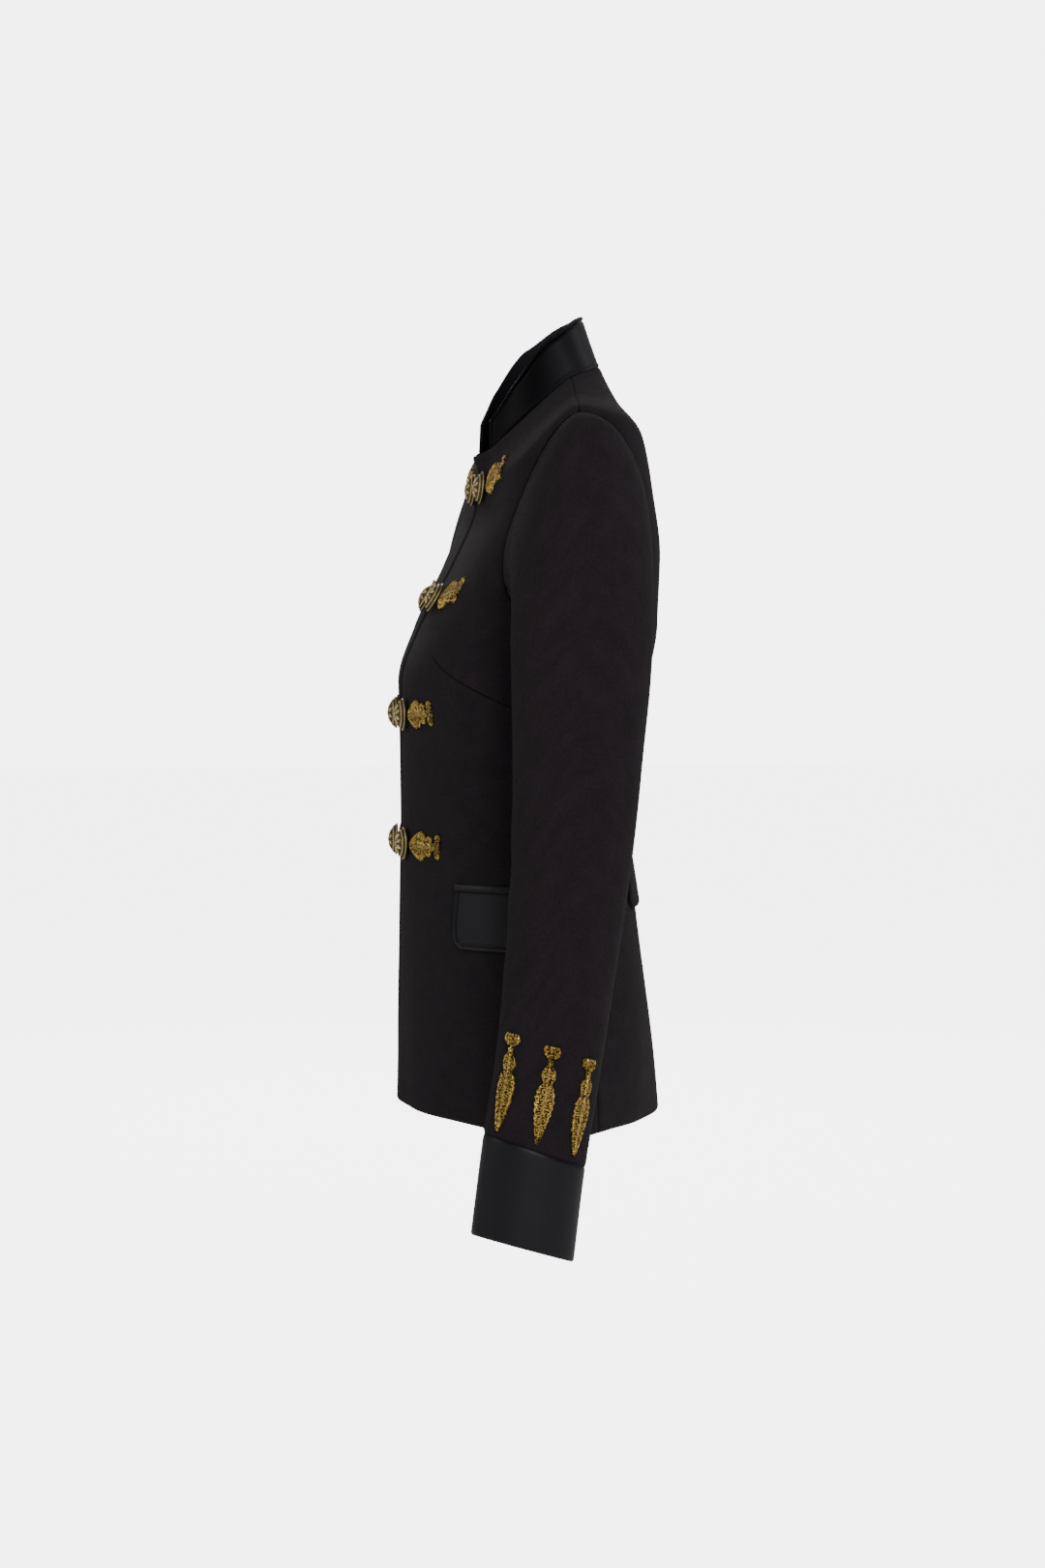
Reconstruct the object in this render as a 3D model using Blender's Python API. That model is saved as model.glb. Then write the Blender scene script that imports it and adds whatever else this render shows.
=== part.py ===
"""A fitted military blazer, worn by nobody: it keeps the hollow form that it has on a figure.

Metres, +Z up, the fronts face -Y and the wearer's left is +X. The origin is between the shoulders, at the
height of the back neck seam. The body is one smooth surface of closed rings, from the hem up over the
shoulders to the neck seam. Every panel is a stretch of that surface, cut at its seams and given its wall.
"""

import math

import bpy
import numpy as np
from mathutils import Matrix, Vector
from mathutils.bvhtree import BVHTree

# Cloth and seams
WOOL_WALL = 0.0020
SATIN_WALL = 0.0022
SEAM_GAP = 0.0004
LAY_GAP = 0.0004

# Fronts: the left front laps over the right one
LAP = 0.006
UNDER_STEP = 0.0032
UNDER_FLAT = 0.010
UNDER_END = 0.020
CORNER_FLARE = 0.005
CORNER_REACH = 0.034
CORNER_FOOT_Z = -0.0895
CORNER_TOP_Z = -0.076

# Armhole, on the rings from underarm to shoulder tip: its reach as a share of the half depth
UNDERARM_RING = 6.0
SHOULDER_RING = 9.0
NECK_RING = 11.0
ARMHOLE_FRONT = 0.78
ARMHOLE_BACK = 0.66
ARMHOLE_ROUND = 2.2

# Side seam, in degrees round the body from the centre front, at the hem and at the underarm
SIDE_SEAM_HEM = 106.0
SIDE_SEAM_UNDERARM = 90.0

# Rings of the body: the widest point of the side, the centre front and the centre back
BODY_COLUMNS = ("side_x", "side_y", "side_z", "front_y", "front_z", "back_y", "back_z",
                "front_round", "back_round", "rise")
BODY_RINGS = (
    ("hem", 0.184, 0.002, -0.6070, -0.1090, -0.6045, 0.1085, -0.6125, 1.55, 1.50, 2.5),
    ("hip", 0.172, 0.001, -0.5120, -0.1055, -0.5130, 0.0940, -0.5180, 2.00, 2.05, 1.5),
    ("pocket", 0.156, 0.000, -0.4290, -0.1045, -0.4280, 0.0830, -0.4320, 2.10, 2.20, 1.0),
    ("waist", 0.143, 0.000, -0.3700, -0.1035, -0.3680, 0.0765, -0.3720, 2.20, 2.30, 1.0),
    ("under_bust", 0.150, 0.002, -0.3150, -0.1035, -0.3120, 0.0755, -0.3180, 2.35, 2.40, 1.0),
    ("bust", 0.161, 0.006, -0.2620, -0.1035, -0.2620, 0.0890, -0.2620, 2.60, 2.60, 1.0),
    ("underarm", 0.160, 0.011, -0.2120, -0.0880, -0.2150, 0.0975, -0.2120, 3.00, 2.80, 1.3),
    ("mid_armhole", 0.166, 0.014, -0.1500, -0.0610, -0.1650, 0.0975, -0.1600, 3.40, 3.00, 1.5),
    ("high_armhole", 0.176, 0.013, -0.0950, -0.0420, -0.1220, 0.0895, -0.1100, 3.40, 3.00, 1.6),
    ("shoulder_tip", 0.187, 0.010, -0.0520, -0.0382, -0.1000, 0.0800, -0.0700, 3.20, 2.90, 1.6),
    ("mid_shoulder", 0.130, 0.017, -0.0330, -0.0380, -0.0900, 0.0660, -0.0360, 2.70, 2.50, 1.3),
    ("neck", 0.070, 0.024, -0.0155, -0.0402, -0.0755, 0.0565, -0.0030, 2.20, 2.20, 1.10),
)

# Rings of a sleeve below its cap: centre, half widths, and how far each metre forward and outward lifts them
SLEEVE_COLUMNS = ("x", "y", "z", "half_side", "half_depth", "front_lift", "side_lift")
SLEEVE_RINGS = (
    ("bicep", 0.2090, 0.0080, -0.225, 0.0415, 0.0540, 0.00, 0.00),
    ("upper_arm", 0.2115, 0.0060, -0.300, 0.0405, 0.0505, 0.00, 0.00),
    ("elbow", 0.2165, 0.0000, -0.385, 0.0385, 0.0460, 0.06, 0.00),
    ("forearm", 0.2225, -0.0110, -0.480, 0.0355, 0.0415, 0.16, 0.03),
    ("wrist", 0.2275, -0.0215, -0.552, 0.0335, 0.0390, 0.28, 0.06),
    ("cuff_seam", 0.2310, -0.0315, -0.607, 0.0310, 0.0385, 0.36, 0.10),
    ("cuff_edge", 0.2350, -0.0415, -0.680, 0.0290, 0.0390, 0.30, 0.15),
)
RIGHT_SWAY = 0.078
CUFF_SEAM = 6.0
CUFF_EDGE = 7.0
CAP_LIFT = 0.004
FOREARM_SEAM = math.radians(128)
HINDARM_SEAM = math.radians(-112)

# Collar: how its top edge stands from the neck seam. The first number of each row is the place, in degrees
# round the neck from the centre back
COLLAR_COLUMNS = ("in_x", "y", "up")
COLLAR_STANDS = (
    ("centre_back", 0.0, 0.000, -0.0115, 0.0415),
    ("back_side", 45.0, 0.006, -0.0165, 0.0390),
    ("shoulder_seam", 90.0, 0.008, -0.0160, 0.0310),
    ("side_front", 125.0, 0.009, -0.0070, 0.0265),
    ("front_side", 145.0, 0.007, -0.0010, 0.0240),
    ("front_end", 160.0, 0.003, 0.0010, 0.0220),
)
COLLAR_START = 3

# Pocket flap and the welt above it
POCKET_START = 0.118
POCKET_LENGTH = 0.112
POCKET_TOP = -0.4165
WELT_HEIGHT = 0.0055
FLAP_HEIGHT = 0.0440
FLAP_CORNER = 0.014

# Back flap, hung below a narrow edge at the waist
BACK_FLAP_HALF = 0.090
BACK_EDGE_TOP = -0.3800
BACK_EDGE_HEIGHT = 0.0080
BACK_FLAP_HEIGHT = 0.0500
BACK_FLAP_STAND = 0.0014
BACK_FLAP_CORNER = 0.010

# Buttons, in a column down each front
BUTTON_FROM_CENTRE = 0.024
BUTTON_RADIUS = 0.013
BUTTON_DOME = 0.0065
BUTTON_EDGE = 0.0010
BUTTON_STAND = 0.0024
SHANK_RADIUS = 0.0034
BUTTON_SEGMENTS = 18

# Embroidered leaves: rows beside the buttons, with the button's height and how far the leaf climbs to its
# head, then three on each sleeve with their places round it
FROG_ROWS = (
    ("top", -0.1030, 0.0140),
    ("second", -0.1930, 0.0070),
    ("third", -0.2860, 0.0035),
    ("bottom", -0.3910, 0.0020),
)
FROG_START = 0.0385
FROG_LENGTH = 0.056
FROG_SCALE = 1.25
SLEEVE_LEAF_LENGTH = 0.072
SLEEVE_LEAF_FOOT = 0.006
SLEEVE_LEAF_SCALE = 0.82
SLEEVE_LEAVES = (("front", 0.95), ("middle", 0.12), ("back", -0.66))
LEAF_RELIEF = 0.0026
LEAF_EDGE = 0.0012

# Outline of one leaf: half width at shares of its length, from the bar at its head to its tip
LEAF_OUTLINE = (
    (0.000, 0.0066), (0.035, 0.0084), (0.095, 0.0078), (0.120, 0.0026), (0.200, 0.0022),
    (0.240, 0.0062), (0.320, 0.0070), (0.380, 0.0040), (0.440, 0.0082), (0.560, 0.0094),
    (0.700, 0.0080), (0.840, 0.0052), (0.940, 0.0030), (1.000, 0.0012),
)

COLOURS = {
    "wool": ((0.011, 0.010, 0.011), 0.85, 0.0),
    "satin": ((0.013, 0.014, 0.016), 0.45, 0.0),
    "gold_metal": ((0.62, 0.47, 0.20), 0.30, 1.0),
    "gold_thread": ((0.42, 0.30, 0.07), 0.50, 0.5),
}


def smooth_column(values, at):
    """Monotone cubic through values at 0, 1, 2 and so on, so that no ring overshoots its neighbours."""
    values = np.asarray(values, float)
    steps = np.diff(values)
    inner = np.where(steps[:-1] * steps[1:] > 0,
                     2 * steps[:-1] * steps[1:] / (steps[:-1] + steps[1:] + 1e-15), 0.0)
    slopes = np.concatenate(([steps[0]], inner, [steps[-1]]))
    at = np.clip(np.asarray(at, float), 0, len(values) - 1)
    left = np.minimum(at.astype(int), len(values) - 2)
    u = at - left
    return (values[left] * (1 + 2 * u) * (1 - u) ** 2 + slopes[left] * u * (1 - u) ** 2
            + values[left + 1] * u ** 2 * (3 - 2 * u) - slopes[left + 1] * u ** 2 * (1 - u))


def smooth_step(share):
    share = np.clip(share, 0, 1)
    return share * share * (3 - 2 * share)


def table_at(columns, rows, at):
    """One smooth value of each named column at the ring number."""
    return {name: smooth_column([row[i + 1] for row in rows], at) for i, name in enumerate(columns)}


def body_point(turn, ring):
    """The outer face of the body. turn is 0 at the centre front, a quarter at the side or shoulder, a half
    at the centre back; each ring is a rounded box whose corners follow its own exponents."""
    turn, ring = np.broadcast_arrays(np.asarray(turn, float), np.asarray(ring, float))
    row = table_at(BODY_COLUMNS, BODY_RINGS, ring)
    ahead, aside = np.cos(turn), np.sin(turn)
    front = ahead >= 0
    power = np.where(front, row["front_round"], row["back_round"])
    reach = (np.abs(ahead) ** power + np.abs(aside) ** power) ** (1 / power)
    out = aside / reach
    along = np.abs(ahead) / reach
    x = row["side_x"] * out
    y = row["side_y"] + along * (np.where(front, row["front_y"], row["back_y"]) - row["side_y"])
    z = row["side_z"] + along ** row["rise"] * (
        np.where(front, row["front_z"], row["back_z"]) - row["side_z"])
    return np.stack([x, y, z], -1)


def outward(surface, p, q, p_step, q_step):
    """Unit normal of a surface of two parameters, from its slopes both ways."""
    along_p = surface(p + p_step, q) - surface(p - p_step, q)
    along_q = surface(p, q + q_step) - surface(p, q - q_step)
    normal = np.cross(along_p, along_q)
    return normal / np.linalg.norm(normal, axis=-1, keepdims=True)


def body_outward(turn, ring):
    return outward(body_point, turn, ring, 0.03, 0.06)


def turns_at(ring, start, end, arcs_of, samples=201):
    """Turns of points along a ring between two turns. arcs_of gives their arc lengths from the start, when it
    is told the whole length."""
    dense = np.linspace(start, end, samples)
    points = body_point(dense, np.full(samples, ring))
    length = np.concatenate(([0], np.cumsum(np.linalg.norm(np.diff(points, axis=0), axis=1))))
    return np.interp(arcs_of(length[-1]), length, dense)


def front_turns(ring, columns=12):
    """Turns of a front's columns: the lap's edge, the two edges of the step under it, then even ones."""
    flat, end = LAP + UNDER_FLAT, LAP + UNDER_END
    return turns_at(ring, turn_at_arc(ring, -LAP), panel_end(ring, True),
                    lambda whole: np.concatenate(([0, flat], np.linspace(end, whole, columns - 1))))


def back_turns(ring, columns=9):
    return turns_at(ring, panel_end(ring, False), math.pi, lambda whole: np.linspace(0, whole, columns + 1))


def turn_at_arc(ring, arc, samples=161):
    """The turn that lies an arc length from the centre front along a ring."""
    dense = np.linspace(-0.5, math.pi, samples)
    points = body_point(dense, np.full(samples, ring))
    length = np.concatenate(([0], np.cumsum(np.linalg.norm(np.diff(points, axis=0), axis=1))))
    return float(np.interp(arc + np.interp(0.0, dense, length), length, dense))


def place_on_body(arc, height):
    """Turn and ring of the point that lies an arc length from the centre front at a height."""
    low, high = 0.0, NECK_RING
    for _ in range(30):
        ring = (low + high) / 2
        turn = turn_at_arc(ring, arc)
        if body_point(turn, ring)[2] < height:
            low = ring
        else:
            high = ring
    return turn, ring


def armhole_turn(ring, toward_front):
    """Where the armhole's edge crosses a ring: an oval about the side, widest halfway up."""
    middle = (SHOULDER_RING + UNDERARM_RING) / 2
    share = abs(ring - middle) / (SHOULDER_RING - middle)
    width = max(0.0, 1 - share ** ARMHOLE_ROUND) ** (1 / ARMHOLE_ROUND)
    row = table_at(BODY_COLUMNS, BODY_RINGS, ring)
    power = row["front_round"] if toward_front else row["back_round"]
    reach = (ARMHOLE_FRONT if toward_front else ARMHOLE_BACK) * width
    turn = math.atan2((1 - reach ** power) ** (1 / power), reach)
    return turn if toward_front else math.pi - turn


def side_seam_turn(ring):
    """The side seam below the arm, the armhole's edge beside it and the shoulder seam above it."""
    share = min(1.0, ring / UNDERARM_RING)
    return math.radians(SIDE_SEAM_HEM + (SIDE_SEAM_UNDERARM - SIDE_SEAM_HEM) * smooth_step(share))


def panel_end(ring, toward_front):
    if ring <= UNDERARM_RING or ring >= SHOULDER_RING:
        return side_seam_turn(ring)
    return armhole_turn(ring, toward_front)


def panel_rings():
    """Ring numbers of a panel's rows, closer together where the armhole turns."""
    skirt = np.linspace(0, UNDERARM_RING, 15)
    share = (1 - np.cos(np.linspace(0, math.pi, 10))) / 2
    armhole = UNDERARM_RING + share * (SHOULDER_RING - UNDERARM_RING)
    yoke = np.linspace(SHOULDER_RING, NECK_RING, 6)
    return np.concatenate((skirt[:-1], armhole[:-1], yoke))


def front_offset(points, arcs, under):
    """How far a front stands out: its top corner falls open, and the under front steps in below the lap."""
    lift = smooth_step((points[:, 2] - CORNER_FOOT_Z) / (CORNER_TOP_Z - CORNER_FOOT_Z))
    flare = CORNER_FLARE * lift * smooth_step(1 - arcs / CORNER_REACH)
    step = UNDER_STEP * smooth_step((UNDER_END - arcs) / (UNDER_END - UNDER_FLAT))
    return flare - step if under else flare


def arcs_from_start(points, first):
    return first + np.concatenate(([0], np.cumsum(np.linalg.norm(np.diff(points, axis=0), axis=1))))


def drawn_in(grid, left, right):
    """The grid with its first and last columns moved in, so that a seam's two edges stand apart."""
    grid = grid.copy()
    for edge, inner, gap in ((0, 1, left), (-1, -2, right)):
        run = grid[:, inner] - grid[:, edge]
        grid[:, edge] += run / np.linalg.norm(run, axis=1, keepdims=True) * gap
    return grid


def front_sheet(under):
    """Outer and inner points of the left front, row by row. The under front is the same cut, stepped in."""
    outer, normals = [], []
    for ring in panel_rings():
        turns = front_turns(ring)
        points = body_point(turns, np.full(len(turns), ring))
        offset = front_offset(points, arcs_from_start(points, -LAP), under)
        normals.append(body_outward(turns, np.full(len(turns), ring)))
        outer.append(points + normals[-1] * offset[:, None])
    outer = drawn_in(np.array(outer), 0.0, SEAM_GAP / 2)
    return outer, outer - np.array(normals) * WOOL_WALL


def back_sheet():
    """Outer and inner points of the left back, from the side seam or armhole to the centre back seam."""
    outer, normals = [], []
    for ring in panel_rings():
        turns = back_turns(ring)
        outer.append(body_point(turns, np.full(len(turns), ring)))
        normals.append(body_outward(turns, np.full(len(turns), ring)))
    outer = drawn_in(np.array(outer), SEAM_GAP / 2, SEAM_GAP / 2)
    return outer, outer - np.array(normals) * WOOL_WALL


def armhole_edge(toward_front):
    """The edge of the armhole from the shoulder tip down to the underarm, through the ends of the panel's
    rows and moved in by the seam's gap."""
    rings = panel_rings()
    rings = rings[(rings >= UNDERARM_RING) & (rings <= SHOULDER_RING)][::-1]
    turns = np.array([panel_end(ring, toward_front) for ring in rings])
    points = body_point(turns, rings)
    run = np.gradient(points, axis=0)
    inward = np.cross(body_outward(turns, rings), run) * (1 if toward_front else -1)
    inward /= np.linalg.norm(inward, axis=1, keepdims=True)
    points = points + inward * SEAM_GAP
    length = np.concatenate(([0], np.cumsum(np.linalg.norm(np.diff(points, axis=0), axis=1))))
    return points, length / length[-1]


ARMHOLE_EDGES = {side: armhole_edge(side) for side in (True, False)}


def armhole_point(angle):
    """A point of the armhole's edge: angle 0 is the shoulder tip, a half turn the underarm."""
    result = np.empty(angle.shape + (3,))
    for toward_front in (True, False):
        points, share = ARMHOLE_EDGES[toward_front]
        chosen = (angle >= 0) == toward_front
        for axis in range(3):
            result[chosen, axis] = np.interp(np.abs(angle[chosen]) / math.pi, share, points[:, axis])
    return result


def sleeve_tube(angle, ring, sway):
    """The sleeve below its cap: rings of an oval whose front edge sits higher than its back edge. sway is how
    far back the cuff's edge hangs, by a curve that starts under the cap."""
    row = table_at(SLEEVE_COLUMNS, SLEEVE_RINGS, ring - 1)
    ahead = row["half_depth"] * np.sin(angle)
    x = row["x"] + row["half_side"] * np.cos(angle)
    drop = SLEEVE_RINGS[0][3] - row["z"]
    share = np.clip(drop / (SLEEVE_RINGS[0][3] - SLEEVE_RINGS[-1][3]), 0, 1)
    lift = row["side_lift"] * (x - row["x"]) + (row["front_lift"] - sway * share * 3.0) * ahead
    return np.stack([x, row["y"] + sway * share ** 1.5 - ahead, row["z"] + lift], -1)


def sleeve_point(angle, ring, sway=0.0):
    """The outer face of a sleeve on the left side. Rings 0 to 1 are the cap, which leaves the armhole outwards
    and turns down into the tube; angle 0 faces away from the body and a quarter turn faces front."""
    angle, ring = np.broadcast_arrays(np.asarray(angle, float), np.asarray(ring, float))
    angle = np.mod(angle + math.pi, 2 * math.pi) - math.pi
    start, end = armhole_point(angle), sleeve_tube(angle, np.ones_like(ring), sway)
    crown = np.clip(np.cos(angle), 0, 1)
    knee = np.stack([end[..., 0] - 0.004 * crown, (start[..., 1] + end[..., 1]) / 2,
                     start[..., 2] - 0.002 + CAP_LIFT * crown], -1)
    share = np.clip(ring, 0, 1)[..., None]
    cap = start * (1 - share) ** 2 + knee * 2 * share * (1 - share) + end * share ** 2
    return np.where((ring < 1)[..., None], cap, sleeve_tube(angle, np.maximum(ring, 1), sway))


def sleeve_outward(angle, ring, sway=0.0):
    return outward(lambda p, q: sleeve_point(p, q, sway), angle, ring, 0.04, 0.04)


def sleeve_sheet(start, end, columns, rings, sway):
    """Outer and inner points of a stretch of the sleeve between two seams."""
    angles = np.linspace(start, end, columns + 1)[None, :]
    rings = np.asarray(rings)[:, None]
    outer = drawn_in(sleeve_point(angles, rings, sway), SEAM_GAP / 2, SEAM_GAP / 2)
    return outer, outer - sleeve_outward(angles, np.maximum(rings, 0.05), sway) * WOOL_WALL


def cuff_sheet(sway, columns=22):
    angles = np.linspace(-math.pi, math.pi, columns, endpoint=False)[None, :]
    top = CUFF_SEAM + SEAM_GAP / (SLEEVE_RINGS[5][3] - SLEEVE_RINGS[6][3])
    rings = np.linspace(top, CUFF_EDGE, 4)[:, None]
    outer = sleeve_point(angles, rings, sway)
    return outer, outer - sleeve_outward(angles, np.minimum(rings, CUFF_EDGE - 0.05), sway) * SATIN_WALL


def collar_sheet(front, back, rows=4):
    """The stand collar, from its left front end round the back to its right front end. Its foot takes the
    top points of the panels, so that both run along one seam."""
    seam = (front[-1][-1:] + back[-1][:1]) / 2
    centre = back[-1][-1:] * np.array([0.0, 1.0, 1.0])
    foot = np.concatenate((front[-1][COLLAR_START:-1], seam, back[-1][1:-1], centre))
    rounds = math.pi - np.concatenate((front_turns(NECK_RING)[COLLAR_START:], back_turns(NECK_RING)[1:]))
    stops = np.radians([row[1] for row in COLLAR_STANDS])
    stand = table_at(COLLAR_COLUMNS, [(row[0], *row[2:]) for row in COLLAR_STANDS],
                     np.interp(rounds, stops, np.arange(len(stops))))
    rise = np.stack([-stand["in_x"], stand["y"], stand["up"]], -1)
    foot = foot + rise / np.linalg.norm(rise, axis=1, keepdims=True) * SEAM_GAP
    left = foot[None] + rise[None] * np.linspace(0, 1, rows + 1)[:, None, None]
    outer = np.concatenate((left, mirrored(left)[:, 1:]), axis=1)
    return outer, outer - grid_normals(outer) * SATIN_WALL


def corner_inset(depth, height, radius):
    """How far a rounded lower corner draws the edge in, at a depth below the top edge."""
    over = max(0.0, depth - (height - radius))
    return radius - math.sqrt(max(0.0, radius ** 2 - over ** 2))


def dropped(points, normals, panels):
    """The points moved along their normals on to the panels under them."""
    placed = np.array(points, float)
    for index in np.ndindex(placed.shape[:-1]):
        point, normal = Vector(placed[index]), Vector(normals[index])
        hit = panels.ray_cast(point + normal * 0.02, -normal, 0.04)[0]
        if hit is not None:
            placed[index] = hit
    return placed


def laid(points, normals, panels):
    """A grid of points dropped on to the panels, then raised where a panel's ridge would pass through the
    straight run between two neighbours."""
    placed = dropped(points, normals, panels)
    raised = np.zeros(placed.shape[:2])
    for rows, columns in ((0, 1), (1, 0), (1, 1)):
        here = (slice(0, placed.shape[0] - rows), slice(0, placed.shape[1] - columns))
        there = (slice(rows, None), slice(columns, None))
        for share in (0.25, 0.5, 0.75):
            middle = placed[here] * (1 - share) + placed[there] * share
            normal = normals[here] * (1 - share) + normals[there] * share
            normal /= np.linalg.norm(normal, axis=-1, keepdims=True)
            ridge = ((dropped(middle, normal, panels) - middle) * normal).sum(-1)
            raised[here] = np.maximum(raised[here], ridge)
            raised[there] = np.maximum(raised[there], ridge)
    return placed + normals * raised[..., None]


def patch_sheet(start, end, top, height, radius, columns, rows, stand, panels):
    """A flap that lies on the body, between two arcs from the centre front, given from its foot up. It
    stands off its panel by the lay gap at its top and by stand more at its foot."""
    shares = np.linspace(1, 0, rows + 1)
    if radius:
        corner = 1 - radius / height * (1 - np.sin(np.radians([90, 72, 40])))
        shares = np.concatenate((corner, np.linspace(1 - radius / height, 0, rows - 2)))
    points, normals = [], []
    for share in shares:
        inset = corner_inset(share * height, height, radius) if radius else 0.0
        arcs = np.linspace(start + inset, end - inset, columns + 1)
        places = np.array([place_on_body(arc, top - share * height) for arc in arcs])
        points.append(body_point(places[:, 0], places[:, 1]))
        normals.append(body_outward(places[:, 0], places[:, 1]))
    normals = np.array(normals)
    inner = laid(np.array(points), normals, panels) + normals * (LAY_GAP + stand * shares)[:, None, None]
    return inner + normals * SATIN_WALL, inner


def half_girth(height):
    """Length of the ring at a height from the centre front to the centre back."""
    _, ring = place_on_body(0.0, height)
    points = body_point(np.linspace(0, math.pi, 161), np.full(161, ring))
    return float(np.linalg.norm(np.diff(points, axis=0), axis=1).sum())


def back_patch_sheet(top, height, radius, columns, rows, stand, panels):
    """A flap across the centre back: its left half, and the same points mirrored."""
    middle = half_girth(top)
    start, end = middle - BACK_FLAP_HALF, middle + BACK_FLAP_HALF
    whole = patch_sheet(start, end, top, height, radius, 2 * columns, rows, stand, panels)
    sheet = []
    for grid in whole:
        left = grid[:, :columns + 1].copy()
        left[:, -1, 0] = 0.0
        sheet.append(np.concatenate((left, mirrored(left)[:, 1:]), axis=1))
    return sheet


def leaf_rows():
    shares, widths = np.array(LEAF_OUTLINE).T
    return shares, widths


def leaf_sheet(place, length, scale, panels, columns=2):
    """Top and underside of a leaf: place maps a distance along and across to a point and its normal."""
    shares, widths = leaf_rows()
    across = np.linspace(-1, 1, columns + 1)
    placed = [place(share * length, across * width * scale) for share, width in zip(shares, widths)]
    points, normals = (np.array(grid) for grid in zip(*placed))
    under = laid(points, normals, panels) + normals * LAY_GAP
    crown = LEAF_EDGE + (LEAF_RELIEF - LEAF_EDGE) * (1 - across ** 2) * np.minimum(1, widths / 0.006)[:, None]
    return under + normals * crown[..., None], under


def frog_place(button_z, climb):
    """A leaf beside a button: it runs round the body and climbs a little on its way."""
    def place(along, across):
        lean = climb / FROG_LENGTH
        points, normals = [], []
        for offset in across:
            arc = FROG_START + FROG_LENGTH - along - offset * lean
            height = button_z + climb * (1 - along / FROG_LENGTH) + offset
            turn, ring = place_on_body(arc, height)
            points.append(body_point(turn, ring))
            normals.append(body_outward(np.array(turn), np.array(ring)))
        return np.array(points), np.array(normals)
    return place


def sleeve_place(angle, sway):
    """A leaf on the sleeve: it runs down from its head, and its tip ends just above the cuff."""
    rings = np.linspace(3, CUFF_SEAM, 121)
    drops = -sleeve_point(np.full(121, angle), rings, sway)[:, 2]
    head = drops[-1] - SLEEVE_LEAF_FOOT - SLEEVE_LEAF_LENGTH

    def place(along, across):
        ring = float(np.interp(head + along, drops, rings))
        radius = np.linalg.norm(sleeve_point(angle + 0.05, ring) - sleeve_point(angle - 0.05, ring)) / 0.1
        angles, level = angle + across / radius, np.full(len(across), ring)
        return sleeve_point(angles, level, sway), sleeve_outward(angles, level, sway)
    return place


def material(name):
    colour, roughness, metallic = COLOURS[name]
    made = bpy.data.materials.new(name)
    made.use_nodes = True
    shader = made.node_tree.nodes["Principled BSDF"]
    shader.inputs["Base Color"].default_value = (*colour, 1)
    shader.inputs["Roughness"].default_value = roughness
    shader.inputs["Metallic"].default_value = metallic
    made.diffuse_color = (*colour, 1)
    return made


def add_object(name, vertices, faces, finish):
    mesh = bpy.data.meshes.new(name)
    mesh.from_pydata([tuple(v) for v in vertices], [], faces)
    mesh.shade_smooth()
    mesh.set_sharp_from_angle(angle=math.radians(40))
    mesh.materials.append(finish)
    made = bpy.data.objects.new(name, mesh)
    bpy.context.scene.collection.objects.link(made)
    return made


def grid_faces(rows, columns, closed=False, start=0):
    """Triangles of a grid of points, closed round on itself where it is a tube."""
    across = columns if closed else columns - 1
    faces = []
    for r in range(rows - 1):
        for c in range(across):
            here, beside = start + r * columns + c, start + r * columns + (c + 1) % columns
            faces += [(here, beside, beside + columns), (here, beside + columns, here + columns)]
    return faces


def grid_normals(grid):
    """Unit normals of a grid of points, from its slopes along both ways."""
    normal = np.cross(np.gradient(grid, axis=1), np.gradient(grid, axis=0))
    return normal / np.linalg.norm(normal, axis=-1, keepdims=True)


def mirrored(grid):
    return grid[:, ::-1] * np.array([-1.0, 1.0, 1.0])


def sheet_object(name, sheet, finish, closed=False, side=1):
    """A closed solid between the outer and the inner grid of a sheet, which have the same size. side is 1 for
    the piece as given and -1 for its mirror image."""
    outer, inner = sheet
    rows, columns = outer.shape[:2]
    count = rows * columns
    faces = grid_faces(rows, columns, closed)
    faces += [face[::-1] for face in grid_faces(rows, columns, closed, count)]
    if closed:
        rims = [[(0, c) for c in range(columns)], [(rows - 1, c) for c in reversed(range(columns))]]
    else:
        rims = [[(0, c) for c in range(columns - 1)] + [(r, columns - 1) for r in range(rows - 1)]
                + [(rows - 1, c) for c in range(columns - 1, 0, -1)] + [(r, 0) for r in range(rows - 1, 0, -1)]]
    for rim in rims:
        loop = [r * columns + c for r, c in rim]
        faces += [(here, here + count, there + count, there) for here, there in zip(loop, loop[1:] + loop[:1])]
    if side < 0:
        faces = [face[::-1] for face in faces]
    points = np.concatenate((outer.reshape(-1, 3), inner.reshape(-1, 3))) * np.array([side, 1.0, 1.0])
    return add_object(name, points, faces, finish)


def sheet_pair(name, sheet, finish, closed=False):
    """The same piece on the left and, mirrored, on the right."""
    sheet_object(name + "_left", sheet, finish, closed)
    sheet_object(name + "_right", sheet, finish, closed, -1)


def panel_tree(*grids):
    """A search tree of the outer faces of panels, on which other pieces are laid."""
    vertices, faces = [], []
    for grid in grids:
        faces += grid_faces(*grid.shape[:2], start=len(vertices))
        vertices += [tuple(point) for point in grid.reshape(-1, 3)]
    return BVHTree.FromPolygons(vertices, faces)


def button_profile():
    """Half section of a domed button on its shank, from the cloth up to the crown."""
    sphere = (BUTTON_RADIUS ** 2 + BUTTON_DOME ** 2) / (2 * BUTTON_DOME)
    reach = math.asin(BUTTON_RADIUS / sphere)
    base = BUTTON_STAND + BUTTON_EDGE
    dome = [(sphere * math.sin(reach * share), base + BUTTON_DOME - sphere * (1 - math.cos(reach * share)))
            for share in (1.0, 0.8, 0.6, 0.4, 0.2)]
    return [(SHANK_RADIUS, LAY_GAP), (SHANK_RADIUS, BUTTON_STAND), (BUTTON_RADIUS * 0.9, BUTTON_STAND),
            (BUTTON_RADIUS, BUTTON_STAND + BUTTON_EDGE * 0.4)] + dome


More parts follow.
